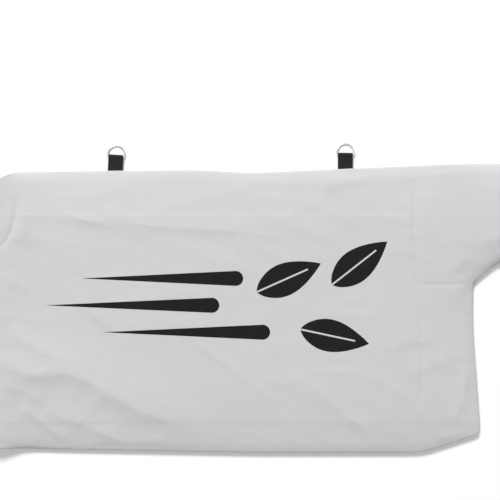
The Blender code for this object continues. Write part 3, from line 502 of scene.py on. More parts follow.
def settle(x, height):
    # the empty bag sinks where neither the zip nor the neck holds it up
    along, rise = x - bagCorner.x, sinking["zipTop"] - sinking["edgeTop"]
    lift = sinking["lift"] * smoothStep((along - sinking["neckFrom"]) / sinking["neckRun"])
    atZip = 1 - smoothStep(along / sinking["sunkZipRun"])
    held = max(atZip, smoothStep((along - sinking["sunkNeckFrom"]) / sinking["sunkNeckRun"]))
    edge = sinking["edgeTop"] + lift + rise * (1 - smoothStep(along / sinking["zipRun"]))
    sunkEdge = sinking["edgeTop"] + lift + rise * atZip
    middle = sinking["middle"] + lift
    sunkMiddle = sinking["sunkMiddle"] + (sinking["middle"] - sinking["sunkMiddle"]) * held + lift
    if height < edge:
        return height - (edge - sunkEdge) * max(height - 5 * mm, 0) / (edge - 5 * mm)
    return sunkEdge + (height - edge) * (sunkMiddle - sunkEdge) / (middle - edge)


def drape(mesh, node, down):
    # lays the flat sheet on a CAD panel, then evens out that panel's facets
    shape = mergedCopy(node)
    tree = BVHTree.FromBMesh(shape)
    start = 0.1 if down < 0 else -0.1
    rim = mesh.verts.layers.float.get("rim")
    centre = plan(430, 240)
    for vert in mesh.verts:
        x, y = vert.co.xy
        if vert.is_boundary:
            inward = (centre - vert.co.xy).normalized() * 0.6 * mm
            for turn in (0, 45, -45, 90, -90, 135, -135, 180):
                step = Matrix.Rotation(math.radians(turn), 2) @ inward
                height = groundHit(tree, x + step.x, y + step.y, start, down)
                if height is not None:
                    break
        else:
            height = groundHit(tree, x, y, start, down)
        vert.co.z = vert[rim] if height is None else height
        if down < 0:
            vert.co.z = settle(x, vert.co.z)
    inner = [vert for vert in mesh.verts if not vert.is_boundary]
    for _ in range(clothShape["evenings"]):
        bmesh.ops.smooth_vert(mesh, verts=inner, factor=0.5, use_axis_z=True)
    shape.free()


def outwardAt(mesh):
    # at each vertex of the outline, the direction away from the sheet in plan
    away = {}
    for edge in mesh.edges:
        if not edge.is_boundary:
            continue
        along = edge.verts[1].co - edge.verts[0].co
        side = Vector((along.y, -along.x, 0)).normalized()
        if side.dot(edge.link_faces[0].calc_center_median() - edge.verts[0].co) > 0:
            side = -side
        for vert in edge.verts:
            away[vert] = away.get(vert, Vector((0, 0, 0))) + side
    return {vert: side.normalized() for vert, side in away.items()}


def turnDown(mesh, rows):
    # the wall at the panel's edge, in rows from its fold line, and last the allowance turned in at the seam
    rim = mesh.verts.layers.float.get("rim")
    cut = mesh.verts.layers.float_vector.new("cut")
    for vert in mesh.verts:
        vert[cut] = (vert.co.x, vert.co.y, 0)
    away = outwardAt(mesh)
    tops = {vert: vert.co.z for vert in away}
    roots = {vert: vert for vert in away}
    edges = [edge for edge in mesh.edges if edge.is_boundary]
    walls = []
    for share in (*rows, None):
        made = bmesh.ops.extrude_edge_only(mesh, edges=edges)["geom"]
        newFaces = [item for item in made if isinstance(item, bmesh.types.BMFace)]
        newVerts = set(vertsOf(made))
        pairs = {}
        for face in newFaces:
            for edge in face.edges:
                fresh = [vert for vert in edge.verts if vert in newVerts]
                if len(fresh) == 1:
                    pairs[fresh[0]] = edge.other_vert(fresh[0])
        for vert, old in pairs.items():
            roots[vert] = roots[old]
            root = roots[vert]
            side, top = away[root], tops[root]
            depth = abs(top - root[rim])
            if share is None:
                vert.co = root.co - side * clothShape["allowance"]
                vert.co.z = root[rim]
                depth += clothShape["allowance"]
            else:
                vert.co = root.co.copy()
                vert.co.z = top + (root[rim] - top) * share
                depth *= share
            vert[rim] = root[rim]
            vert[cut] = Vector((root.co.x, root.co.y, 0)) + side * depth
        if share is not None:
            walls += newFaces
        edges = [item for item in made if isinstance(item, bmesh.types.BMEdge) and item.is_boundary]
    crease = mesh.edges.layers.float.get("crease_edge") or mesh.edges.layers.float.new("crease_edge")
    for edge in mesh.edges:
        onSeam = all(abs(vert.co.z - vert[rim]) < 0.01 * mm for vert in edge.verts)
        if onSeam and len(edge.link_faces) == 2 and edge.calc_face_angle(0) > 0.9:
            edge[crease] = 0.7
    return walls


# Folds, in millimetres of the bag's plan: points, height, width on the upper side and on the lower side
folds = (
    (((40, 346), (50, 372), (54, 400), (57, 436)), 1.6, 8, 26),
    (((20, 300), (44, 284), (70, 262)), 1.0, 12, 8),
    (((70, 396), (180, 390), (300, 379), (420, 372), (540, 350)), 1.5, 34, 9),
    (((430, 410), (520, 376), (606, 340)), 0.9, 26, 10),
    (((420, 470), (424, 440), (438, 404)), 0.8, 10, 8),
    (((540, 440), (590, 458), (640, 452)), 0.8, 18, 9),
    (((-20, 190), (12, 163), (34, 144), (60, 134), (97, 132), (128, 136), (165, 122), (207, 95), (254, 70),
      (296, 57), (354, 33), (400, 14)), 3.7, 34, 17),
    (((30, 218), (55, 190), (92, 169), (134, 158)), 1.8, 20, 13),
    (((14, 120), (60, 104), (92, 78)), 1.7, 16, 14),
    (((44, 86), (92, 47), (130, 14)), 1.4, 14, 9),
    (((76, 78), (148, 50), (190, 33), (236, 8)), 1.7, 17, 10),
    (((150, 236), (226, 214), (300, 180)), 0.7, 26, 12),
    (((430, 128), (520, 108), (610, 66)), 0.7, 30, 14),
    (((650, 168), (706, 190), (762, 182)), 0.9, 16, 8),
    (((690, 130), (742, 148), (792, 170)), 1.0, 18, 9),
    (((560, 60), (650, 44), (730, 24)), 0.9, 26, 12),
    (((770, 40), (790, 90), (800, 160)), 1.3, 12, 10),
    (((790, 250), (772, 300), (800, 340)), 1.3, 16, 10),
    (((820, 350), (862, 366), (930, 372)), 0.9, 12, 9),
    (((800, 452), (850, 440), (905, 436)), 0.8, 14, 9),
)
# Creases left from packing: points, depth and half width
creases = (
    (((43, 430), (41, 398), (34, 372), (25, 354), (8, 338)), 1.5, 3.2),
    (((709, 474), (708, 380), (714, 262)), 0.8, 4),
    (((716, 260), (722, 150), (720, 62)), 0.7, 4),
    (((700, 284), (770, 282), (806, 285)), 0.65, 3.6),
    (((300, 466), (306, 300), (302, 40)), 0.14, 6),
)
clothRelief = {
    "sharpReach": 8.2 * mm,  # the mesh is finer within this distance of a fold or crease past these sizes
    "sharpFold": 1.2 * mm,
    "sharpCrease": 0.4 * mm,
    "crumple": 1.1 * mm,
    "crumpleSize": 95 * mm,
    "crumpleStretch": 1.9,  # along the bag
    "ripple": 0.28 * mm,
    "rippleSize": 30 * mm,
    "pucker": 0.75 * mm,
    "puckerPitch": 15 * mm,
    "puckerReach": 20 * mm,
    "smallPucker": 0.32 * mm,
    "smallPuckerPitch": 6.5 * mm,
    "smallPuckerReach": 7 * mm,
    "calm": 60 * mm,  # run over which the cloth is drawn flat towards the cuff
    "calmEnd": 46 * mm,  # from the mouth
    "seamFree": 3 * mm,  # from the seam, where puckers reach their full height
    "foldStart": 2 * mm,  # from the seam, where folds begin, and the run to their full height
    "foldRun": 22 * mm,
    "foldReach": 70 * mm,
}


def pathDistance(point, path):
    # distance from a path, how far along it the nearest place lies (0 to 1), and the side (1 for the upper)
    best = (1e9, 0.0, 1.0)
    count = len(path) - 1
    for k in range(count):
        a, b = path[k], path[k + 1]
        run = b - a
        t = min(max((point - a).dot(run) / run.length_squared, 0.0), 1.0)
        gap = point - (a + run * t)
        if gap.length < best[0]:
            side = run.cross(gap) * (1 if run.x >= 0 else -1)
            best = (gap.length, (k + t) / count, 1.0 if side >= 0 else -1.0)
    return best


def foldRelief(spot):
    total = 0.0
    for path, height, upper, lower in foldPaths:
        distance, share, side = pathDistance(spot, path)
        if distance > clothRelief["foldReach"]:
            continue
        width = upper if side > 0 else lower
        run = smoothStep(4 * share) * smoothStep(3 * (1 - share))
        total += height * run * math.exp(-((distance / width) ** 1.6))
    for path, depth, width in creasePaths:
        distance, share, _ = pathDistance(spot, path)
        run = smoothStep(4 * share) * smoothStep(4 * (1 - share))
        total -= depth * run * math.exp(-abs(distance / width) ** 1.3)
    return total


foldPaths, creasePaths = (
    [([plan(*spot) for spot in path], *(size * mm for size in sizes)) for path, *sizes in rows]
    for rows in (folds, creases)
)


def crumpleRelief(spot):
    size, lean = clothRelief["crumpleSize"], spot.x * 0.2
    here = Vector((spot.x / size / clothRelief["crumpleStretch"], (spot.y + lean) / size, 0.3))
    bend = noise.noise_vector(here * 0.7) * 0.6
    ridge = 0.0
    for octave, weight in ((1.0, 1.0), (2.1, 0.42), (4.3, 0.16)):
        value = noise.noise((here + bend) * octave)
        ridge += weight * (1 - min(abs(value) * 2.6, 1)) ** 2
    size = clothRelief["rippleSize"]
    ripple = noise.noise(Vector((spot.x / size, spot.y / size, 5.1)))
    return clothRelief["crumple"] * (ridge - 0.45) * 0.6 + clothRelief["ripple"] * ripple


def edgeFinder(loop):
    # nearest place on the seam: its distance, and how far round the seam it lies
    spots, run, step = [], 0.0, 1.5 * mm
    for a, b in zip(loop, loop[1:]):
        count = max(1, round((b - a).length / step))
        for k in range(count):
            spots.append((a.lerp(b, k / count), run + (b - a).length * k / count))
        run += (b - a).length
    tree = kdtree.KDTree(len(spots))
    for i, (spot, _) in enumerate(spots):
        tree.insert((spot.x, spot.y, 0), i)
    tree.balance()

    def find(x, y):
        _, index, distance = tree.find((x, y, 0))
        return distance, spots[index][1]

    return find


def refineAtFolds(mesh):
    # finer faces along the steep side of each fold and crease
    paths = [path for path, height, *_ in foldPaths if height > clothRelief["sharpFold"]]
    paths += [path for path, depth, _ in creasePaths if depth > clothRelief["sharpCrease"]]
    near = []
    for face in mesh.faces:
        spot = face.calc_center_median().xy
        closest = min(pathDistance(spot, path)[0] for path in paths)
        if face.normal.z > 0.3 and closest < clothRelief["sharpReach"]:
            near.append(face)
    edges = list(dict.fromkeys(edge for face in near for edge in face.edges))
    bmesh.ops.subdivide_edges(mesh, edges=edges, cuts=1, use_grid_fill=True, smooth=0.0)
    wide = [face for face in mesh.faces if len(face.verts) > 4]
    bmesh.ops.triangulate(mesh, faces=wide)


def roughenCloth(mesh, finder):
    # adds folds, crumples and the small puckers that a seam draws into cloth
    pitch, reach = clothRelief["puckerPitch"], clothRelief["puckerReach"]
    smallPitch, smallReach = clothRelief["smallPuckerPitch"], clothRelief["smallPuckerReach"]
    mesh.normal_update()
    lifts = []
    for vert in mesh.verts:
        spot = vert.co.xy
        distance, run = finder(*spot)
        free = smoothStep(distance / clothRelief["seamFree"])
        calm = smoothStep((mouthX - clothRelief["calmEnd"] - spot.x) / clothRelief["calm"])
        wide = smoothStep((distance - clothRelief["foldStart"]) / clothRelief["foldRun"])
        pucker = noise.noise(Vector((run / pitch, distance / (3 * pitch), 2.0))) * math.exp(-distance / reach)
        small = noise.noise(Vector((run / smallPitch, 7.0, distance / smallReach)))
        small *= math.exp(-distance / smallReach)
        lift = clothRelief["pucker"] * pucker * free + clothRelief["smallPucker"] * small * free
        lift += wide * (crumpleRelief(spot) + foldRelief(spot))
        lifts.append(lift * calm)
    for vert, lift in zip(mesh.verts, lifts):
        vert.co.z += lift


def cutAtMouth(mesh):
    bmesh.ops.bisect_plane(
        mesh,
        geom=[*mesh.verts, *mesh.edges, *mesh.faces],
        dist=0.001 * mm,
        plane_co=(mouthX, 0, 0),
        plane_no=(1, 0, 0),
        clear_outer=True,
    )


def zipSlot():
    slider, low, high = (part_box(name) for name in ("zip_slider", "zip_stop_bottom", "zip_stop_upper"))
    margin = 0.4 * mm
    return {
        "bottom": slider[0].z - margin,
        "top": slider[1].z + margin,
        "start": low[0].y - 1.5 * mm,
        "end": high[1].y + 1.5 * mm,
    }


def openSlot(mesh, walls, slot):
    # takes the wall's faces out where the zip shows
    faces = []
    for face in walls:
        middle = face.calc_center_median()
        if middle.x < bagCorner.x + 1 * mm and slot["start"] < middle.y < slot["end"]:
            if slot["bottom"] < middle.z < slot["top"]:
                faces.append(face)
    bmesh.ops.delete(mesh, geom=faces, context="FACES")


def finishPanel(name, mesh, up, node):
    # cuts the panel off at the mouth, turns its faces outwards and gives it its thickness
    cutAtMouth(mesh)
    bmesh.ops.recalc_face_normals(mesh, faces=mesh.faces)
    if sum(face.normal.z * face.calc_area() for face in mesh.faces) * up < 0:
        bmesh.ops.reverse_faces(mesh, faces=mesh.faces)
    piece = finishPiece(name, mesh, cloth, "bag", [node])
    addSolidify(piece, clothShape["thickness"], -1)
    print(name, "made,", len(piece.data.polygons), "faces")
    return piece


def makeFrontPanel():
    loop = seamLoop("front_panel", -1)
    mesh = flatSheet(loop)
    slot = zipSlot()
    for y in (slot["start"], slot["end"]):
        whole = [*mesh.verts, *mesh.edges, *mesh.faces]
        bmesh.ops.bisect_plane(mesh, geom=whole, dist=0.3 * mm, plane_co=(0, y, 0), plane_no=(0, 1, 0))
    drape(mesh, "front_panel", -1)
    edge = [vert for vert in mesh.verts if vert.is_boundary and vert.co.x < bagCorner.x + 1 * mm]
    top = max(vert.co.z for vert in edge)
    seamZ = edge[0][mesh.verts.layers.float.get("rim")]
    levels = (slot["top"], (slot["top"] + slot["bottom"]) / 2, slot["bottom"], seamZ)
    walls = turnDown(mesh, [1 - (z - seamZ) / (top - seamZ) for z in levels])
    openSlot(mesh, walls, slot)
    mesh = subdivided(mesh, 1)
    mesh.normal_update()
    refineAtFolds(mesh)
    roughenCloth(mesh, edgeFinder(loop))
    return finishPanel("front_cloth", mesh, 1, "front_panel")


def makeBackPanel():
    mesh = flatSheet(seamLoop("back_panel", 1))
    drape(mesh, "back_panel", 1)
    turnDown(mesh, (0.5, 1.0))
    mesh = subdivided(mesh, 1)
    for vert in mesh.verts:
        vert.co.z = max(vert.co.z, 0.0)
    return finishPanel("back_cloth", mesh, -1, "back_panel")


frontCloth = makeFrontPanel()
backCloth = makeBackPanel()


# Print: each field follows its CAD outline and lies on the cloth as that creases

inkFilm = {
    "gap": 0.07 * mm,
    "thickness": 0.09 * mm,
    "margin": 9 * mm,
    "cutterHeight": 60 * mm,
    "cornerAngle": math.radians(32),
    "longSide": 30 * mm,
}


def roundedOutline(spots):
    # three more points on each short side of an outline, on a curve between its neighbours' directions
    count, outline = len(spots), []
    runs = [spots[(i + 1) % count] - spots[i] for i in range(count)]
    tangents = []
    for before, after in zip(runs[-1:] + runs[:-1], runs):
        along = before.normalized() * after.length + after.normalized() * before.length
        straight = [run for run in (before, after) if run.length > inkFilm["longSide"]]
        soft = before.angle(after) < inkFilm["cornerAngle"]
        tangents.append((straight[0] if straight else along).normalized() if soft else None)
    for i, run in enumerate(runs):
        outline.append(spots[i])
        leave, arrive = tangents[i], tangents[(i + 1) % count]
        if run.length > inkFilm["longSide"] or (leave is None and arrive is None):
            continue
        leave = leave or run.normalized() * 2 * run.normalized().dot(arrive) - arrive
        arrive = arrive or run.normalized() * 2 * run.normalized().dot(leave) - leave
        for t in (0.25, 0.5, 0.75):
            bend = leave * (t * (1 - t) ** 2) - arrive * (t**2 * (1 - t))
            outline.append(spots[i] + run * (3 * t**2 - 2 * t**3) + bend * run.length)
    return outline


def printCutter(node):
    # a tall block with the field's outline
    mesh = mergedCopy(node)
    down = [face for face in mesh.faces if face.normal.z < 0.5]
    bmesh.ops.delete(mesh, geom=down, context="FACES")
    for vert in mesh.verts:
        vert.co.z = 0
    bmesh.ops.dissolve_limit(mesh, angle_limit=0.02, verts=mesh.verts, edges=mesh.edges)
    outlines = [roundedOutline([vert.co.copy() for vert in face.verts]) for face in mesh.faces]
    mesh.clear()
    for outline in outlines:
        mesh.faces.new([mesh.verts.new(spot) for spot in outline])
    made = bmesh.ops.extrude_face_region(mesh, geom=mesh.faces)["geom"]
    bmesh.ops.translate(mesh, verts=vertsOf(made), vec=(0, 0, inkFilm["cutterHeight"]))
    bmesh.ops.recalc_face_normals(mesh, faces=mesh.faces)
    return mesh


def clothCopy(low, high, margin):
    # the front cloth's faces that look up, over one field
    mesh = bmesh.new()
    mesh.from_mesh(frontCloth.data)
    away = []
    for face in mesh.faces:
        spot = face.calc_center_median()
        beside = not (low.x - margin < spot.x < high.x + margin and low.y - margin < spot.y < high.y + margin)
        if beside or face.normal.z < 0.3:
            away.append(face)
    bmesh.ops.delete(mesh, geom=away, context="FACES")
    return mesh


def makeField(node):
    mesh = clothCopy(*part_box(node), inkFilm["margin"])
    bmesh.ops.translate(mesh, verts=mesh.verts, vec=(0, 0, inkFilm["gap"]))
    cutterData = meshData("cutter", printCutter(node))
    cutter = link("cutter", cutterData)

    def modify(holder):
        film = holder.modifiers.new("film", "SOLIDIFY")
        film.thickness = inkFilm["thickness"]
        film.offset = 1
        keep = holder.modifiers.new("outline", "BOOLEAN")
        keep.operation = "INTERSECT"
        keep.solver = "MANIFOLD"
        keep.object = cutter

    field = evaluated(mesh, modify)
    bpy.data.objects.remove(cutter)
    bpy.data.meshes.remove(cutterData)
    layers = field.verts.layers.float_vector
    cut = layers.get("cut") or layers.new("cut")
    for vert in field.verts:
        vert[cut] = (vert.co.x, vert.co.y, 0)
    piece = finishPiece(node.replace("print", "ink"), field, ink, "bag", [node])
    piece.data.set_sharp_from_angle(angle=sharpAngle)
    return piece


printNodes = [name for name in nodes if name.startswith("print_")]
fields = [makeField(name) for name in printNodes]
print("print made,", len(fields), "fields")


# Webbing: every strip follows the centreline of its CAD solid

def sideLoops(mesh, across):
    # the outlines of a solid's flat side, the one that comes first in the given direction
    low = min(vert.co.dot(across) for vert in mesh.verts) + 0.05 * mm
    ties = {}
    for edge in mesh.edges:
        atSide = all(vert.co.dot(across) < low for vert in edge.verts)
        if atSide and sum(abs(face.normal.dot(across)) > 0.9 for face in edge.link_faces) == 1:
            tie(ties, edge)
    loops, left = [], dict(ties)
    while left:
        chain = walk(ties, next(iter(left)))
        loops.append([vert.co.copy() for vert in chain])
        for vert in chain:
            del left[vert]
    mesh.free()
    return loops


def stripRoute(node, across, thickness):
    # the centreline of a CAD strip, from the outline of its side
    mesh = mergedCopy(node)
    bmesh.ops.dissolve_limit(mesh, angle_limit=0.003, verts=mesh.verts, edges=mesh.edges)
    spots = sideLoops(mesh, across)[0]
    count = len(spots)
    runs = [spots[(i + 1) % count] - spots[i] for i in range(count)]
    area = sum(a.cross(b).dot(across) for a, b in zip(spots, spots[1:] + spots[:1]))
    sign = 1 if area > 0 else -1
    sides = [run.cross(across).normalized() * -sign for run in runs]
    turns = [runs[i - 1].cross(runs[i]).dot(across) * sign for i in range(count)]
    corners = [runs[i - 1].angle(runs[i]) > 0.9 and turns[i] > 0 for i in range(count)]
    ends = []
    for i in range(count):
        if corners[i] and corners[(i + 1) % count] and 0.6 < runs[i].length / thickness < 1.5:
            ends.append(i)
    first, last = ends[0] + 1, ends[1]
    route = []
    for i in range(first, last + 1):
        if i == first:
            inward, miter = sides[i], 1.0
        elif i == last:
            inward, miter = sides[i - 1], 1.0
        else:
            inward = (sides[i - 1] + sides[i]).normalized()
            miter = max(inward.dot(sides[i]), 0.75)
        route.append(spots[i] + inward * (thickness / 2 / miter))
    middle = (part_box(node)[0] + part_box(node)[1]) / 2
    shift = across * (middle.dot(across))
    return [spot - across * spot.dot(across) + shift for spot in route]


def evenly(points, step):
    # the same route in equal steps
    total = pathLength(points)
    count = max(2, round(total / step))
    spaced, wanted, run = [points[0]], total / count, 0.0
    for a, b in zip(points, points[1:]):
        length = (b - a).length
        while length > 0 and run + length >= wanted * len(spaced) - 1e-9 and len(spaced) < count:
            spaced.append(a.lerp(b, (wanted * len(spaced) - run) / length))
        run += length
    return spaced + [points[-1]]


def rounded(points, step, passes):
    route = evenly(points, step)
    for _ in range(passes):
        inner = [(a + b * 2 + c) / 4 for a, b, c in zip(route, route[1:], route[2:])]
        route = [route[0]] + inner + [route[-1]]
    return evenly(route, step)


def grow(mesh, ring):
    # one more ring of faces: each old vertex with its new one
    edges = [edge for edge in mesh.edges if edge.is_boundary and ring.issuperset(edge.verts)]
    if not edges:
        edges = [edge for edge in mesh.edges if not edge.link_faces]
    made = bmesh.ops.extrude_edge_only(mesh, edges=edges)["geom"]
    fresh = set(vertsOf(made))
    pairs = {}
    for vert in fresh:
        for edge in vert.link_edges:
            old = edge.other_vert(vert)
            if old not in fresh:
                pairs[old] = vert
    return pairs


def sweepBand(route, across, width, thickness, wave=0.0):
    # webbing with rounded selvedges, swept along a route
    mesh = bmesh.new()
    cut = mesh.verts.layers.float_vector.new("cut")
    bmesh.ops.create_circle(mesh, segments=12, radius=thickness / 2)
    bmesh.ops.rotate(mesh, verts=mesh.verts, matrix=Matrix.Rotation(math.radians(15), 3, "Z"))
    reach = width / 2 - thickness / 2
    section = {vert: (vert.co.x + (reach if vert.co.x > 0 else -reach), vert.co.y) for vert in mesh.verts}
    long = [edge for edge in mesh.edges if (edge.verts[0].co.x > 0) != (edge.verts[1].co.x > 0)]
    for vert, (u, n) in section.items():
        vert.co = (u, n, 0)
    bmesh.ops.subdivide_edges(mesh, edges=long, cuts=5)
    section = {vert: (vert.co.x, vert.co.y) for vert in mesh.verts}
    ring, run = set(mesh.verts), 0.0
    for i, here in enumerate(route):
        before, after = route[max(i - 1, 0)], route[min(i + 1, len(route) - 1)]
        up = across.cross(after - before).normalized()
        if i:
            run += (here - route[i - 1]).length
            pairs = grow(mesh, ring)
            section = {pairs[old]: place for old, place in section.items()}
            ring = set(section)
        sway = wave * math.sin(run / (9 * mm)) * math.sin(run / (31 * mm) + 1)
        for vert, (u, n) in section.items():
            vert.co = here + across * (u + sway) + up * n
            vert[cut] = (u, run, 0)
    edges = [edge for edge in mesh.edges if edge.is_boundary]
    bmesh.ops.holes_fill(mesh, edges=edges, sides=0)
    bmesh.ops.recalc_face_normals(mesh, faces=mesh.faces)
    return mesh


def stitches(name, places, look, body, size):
    # short beads of thread, one for each place: its middle, its direction and the surface's normal
    mesh = bmesh.new()
    for middle, along, up in places:
        made = bmesh.ops.create_icosphere(mesh, subdivisions=1, radius=0.5)["verts"]
        side = along.cross(up).normalized()
        turn = Matrix((along * size["length"], side * size["width"], up * size["height"])).transposed()
        bmesh.ops.transform(mesh, verts=made, matrix=Matrix.Translation(middle) @ turn.to_4x4())
    finishPiece(name, mesh, look, body)


def rowOfStitches(a, b, up, pitch):
    # places of a straight row from a to b
    run = b - a
    count = max(1, round(run.length / pitch))
    along = run.normalized()
    return [(a + run * ((k + 0.5) / count), along, up) for k in range(count)]


tabLook = {
    "width": 25 * mm,
    "thickness": 1.2 * mm,
    "wave": 0.12 * mm,
    "stitch": {"length": 2.5 * mm, "width": 0.55 * mm, "height": 0.4 * mm},
    "stitchPitch": 3.0 * mm,
    "stitchRows": (7.5 * mm, 21.5 * mm),  # from the ring's hinge
    "stitchInset": 2.5 * mm,
    "stitchLift": 0.08 * mm,
}


def makeTab(side):
    node, joint = f"ring_tab_{side}", joints[f"ring_{side}_swing"]
    across = Vector(joint["axis"]).normalized()
    route = rounded(stripRoute(node, across, tabLook["thickness"]), 0.8 * mm, 3)
    band = sweepBand(route, across, tabLook["width"], tabLook["thickness"], tabLook["wave"])
    finishPiece(f"webbing_tab_{side}", band, webbing, "bag", [node])
    bar = Vector(joint["pos_m"])
    away = Vector((0, 0, 1)).cross(across)
    places = []
    for fromBar in tabLook["stitchRows"]:
        spot = bar - away * fromBar
        top = max(point.z for point in route if (point - spot).dot(away) ** 2 < (1.2 * mm) ** 2)
        spot.z = top + tabLook["thickness"] / 2 + tabLook["stitchLift"]
        half = across * (tabLook["width"] / 2 - tabLook["stitchInset"])
        places += rowOfStitches(spot - half, spot + half, Vector((0, 0, 1)), tabLook["stitchPitch"])
    stitches(f"tab_stitches_{side}", places, thread, "bag", tabLook["stitch"])


# "seat" is how far the ring's hinge stands over the table
ringLook = {"wire": 2.5 * mm, "half": 14.15 * mm, "height": 17.8 * mm, "corner": 2.4 * mm, "seat": 4 * mm}


def wirePiece(points, radius, closed, resolution=5):
    # a round wire along a route, made a mesh
    data = bpy.data.curves.new("wire", "CURVE")
    data.dimensions = "3D"
    data.bevel_depth = radius
    data.bevel_resolution = resolution
    data.use_fill_caps = not closed
    spline = data.splines.new("POLY")
    spline.points.add(len(points) - 1)
    for slot, point in zip(spline.points, points):
        slot.co = (*point, 1)
    spline.use_cyclic_u = closed
    holder = link("wire", data)
    bpy.context.view_layer.update()
    shaped = holder.evaluated_get(bpy.context.evaluated_depsgraph_get())
    made = bpy.data.meshes.new_from_object(shaped)
    bpy.data.objects.remove(holder)
    bpy.data.curves.remove(data)
    mesh = bmesh.new()
    mesh.from_mesh(made)
    bpy.data.meshes.remove(made)
    bmesh.ops.remove_doubles(mesh, verts=mesh.verts, dist=0.001 * mm)
    bmesh.ops.recalc_face_normals(mesh, faces=mesh.faces)
    return mesh


def makeRing(side):
    joint = joints[f"ring_{side}_swing"]
    half, height = ringLook["half"], ringLook["height"]
    across = Vector(joint["axis"]).normalized()
    fall = math.asin((ringLook["seat"] - ringLook["wire"] / 2) / height)
    away = Vector((0, 0, 1)).cross(across) * math.cos(fall) - Vector((0, 0, 1)) * math.sin(fall)
    corner = ringLook["corner"]
    flat, bowStart = half - corner, height - half
    turns = [math.pi / 2 * k / 8 for k in range(9)]
    right = [(flat + corner * math.sin(a), corner - corner * math.cos(a)) for a in turns]
    bow = [(half * math.cos(a), bowStart + half * math.sin(a)) for a in (math.pi * k / 48 for k in range(49))]
    left = [(-x, y) for x, y in reversed(right)]
    centre = Vector(joint["pos_m"])
    points = [centre + across * x + away * y for x, y in right + bow + left]
    wire = wirePiece(points, ringLook["wire"] / 2, True)
    finishPiece(f"ring_{side}_wire", wire, nickel, f"ring_{side}", [f"d_ring_{side}"])


for tabSide in ("left", "right"):
    makeTab(tabSide)
    makeRing(tabSide)
print("tabs and rings made")


# Small metal and moulded parts keep their CAD shape and get softened edges

def bevelEdges(mesh, edges, width, segments, clamp=False):
    bmesh.ops.bevel(
        mesh,
        geom=edges,
        offset=width,
        affect="EDGES",
        segments=segments,
        profile=0.5,
        material=-1,
        clamp_overlap=clamp,
    )


def softened(name, node, width, segments, look, body):
    mesh = mergedCopy(node)
    bmesh.ops.dissolve_limit(mesh, angle_limit=0.02, verts=mesh.verts, edges=mesh.edges)
    sharp = [edge for edge in mesh.edges if edge.is_manifold and edge.calc_face_angle(0) > 0.5]
    bevelEdges(mesh, sharp, width, segments, clamp=True)
    bmesh.ops.remove_doubles(mesh, verts=mesh.verts, dist=0.005 * mm)
    piece = finishPiece(name, mesh, look, body, [node])
    piece.data.set_sharp_from_angle(angle=sharpAngle)


# Zip

zipLook = {
    "toothPitch": 2.9 * mm,
    "toothLength": 3.3 * mm,  # across the zip
    "toothWidth": 1.25 * mm,
    "toothHeight": 2.3 * mm,
    "toothOverlap": 1.15 * mm,  # past the middle of the zip
    "toothRound": 0.22 * mm,
    "toothTip": (0.82, 0.86, 1),  # its share of the tooth's size
    "tapeThick": 0.55 * mm,
    "tapeInset": 0.9 * mm,
    "tapeGap": 1.5 * mm,  # from the middle of the zip
    "bead": 0.65 * mm,
}


def makeTape(name, sign):
    # one tape of the zip, with a slight wave and its thickness; its beaded edge and the row of teeth that
    # meets the other row are made after it
    node = f"zip_tape_{name}"
    low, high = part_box(node)
    slotBox = zipSlot()
    mid = (slotBox["bottom"] + slotBox["top"]) / 2
    x = low.x + zipLook["tapeInset"] + zipLook["tapeThick"] / 2
    outer = high.z if sign > 0 else low.z
    inner = mid + sign * zipLook["tapeGap"]
    mesh = bmesh.new()
    cut = mesh.verts.layers.float_vector.new("cut")
    for y in (low.y, high.y):
        mesh.verts.new((x, y, inner))
        mesh.verts.new((x, y, outer))
    a, b, c, d = mesh.verts
    mesh.faces.new((a, b, d, c))
    long = [edge for edge in mesh.edges if edge.calc_length() > 100 * mm]
    bmesh.ops.subdivide_edges(mesh, edges=long, cuts=60)
    short = [edge for edge in mesh.edges if abs(edge.verts[0].co.y - edge.verts[1].co.y) < mm]
    bmesh.ops.subdivide_edges(mesh, edges=short, cuts=4)
    for vert in mesh.verts:
        vert.co.x += 0.12 * mm * math.sin(vert.co.y / (13 * mm)) * abs(vert.co.z - inner) / (6 * mm)
        vert[cut] = (vert.co.z, vert.co.y, 0)
    bmesh.ops.recalc_face_normals(mesh, faces=mesh.faces)
    piece = finishPiece(f"tape_{name}", mesh, tape, "bag", [node])
    addSolidify(piece, zipLook["tapeThick"], 0)
    return x, mid


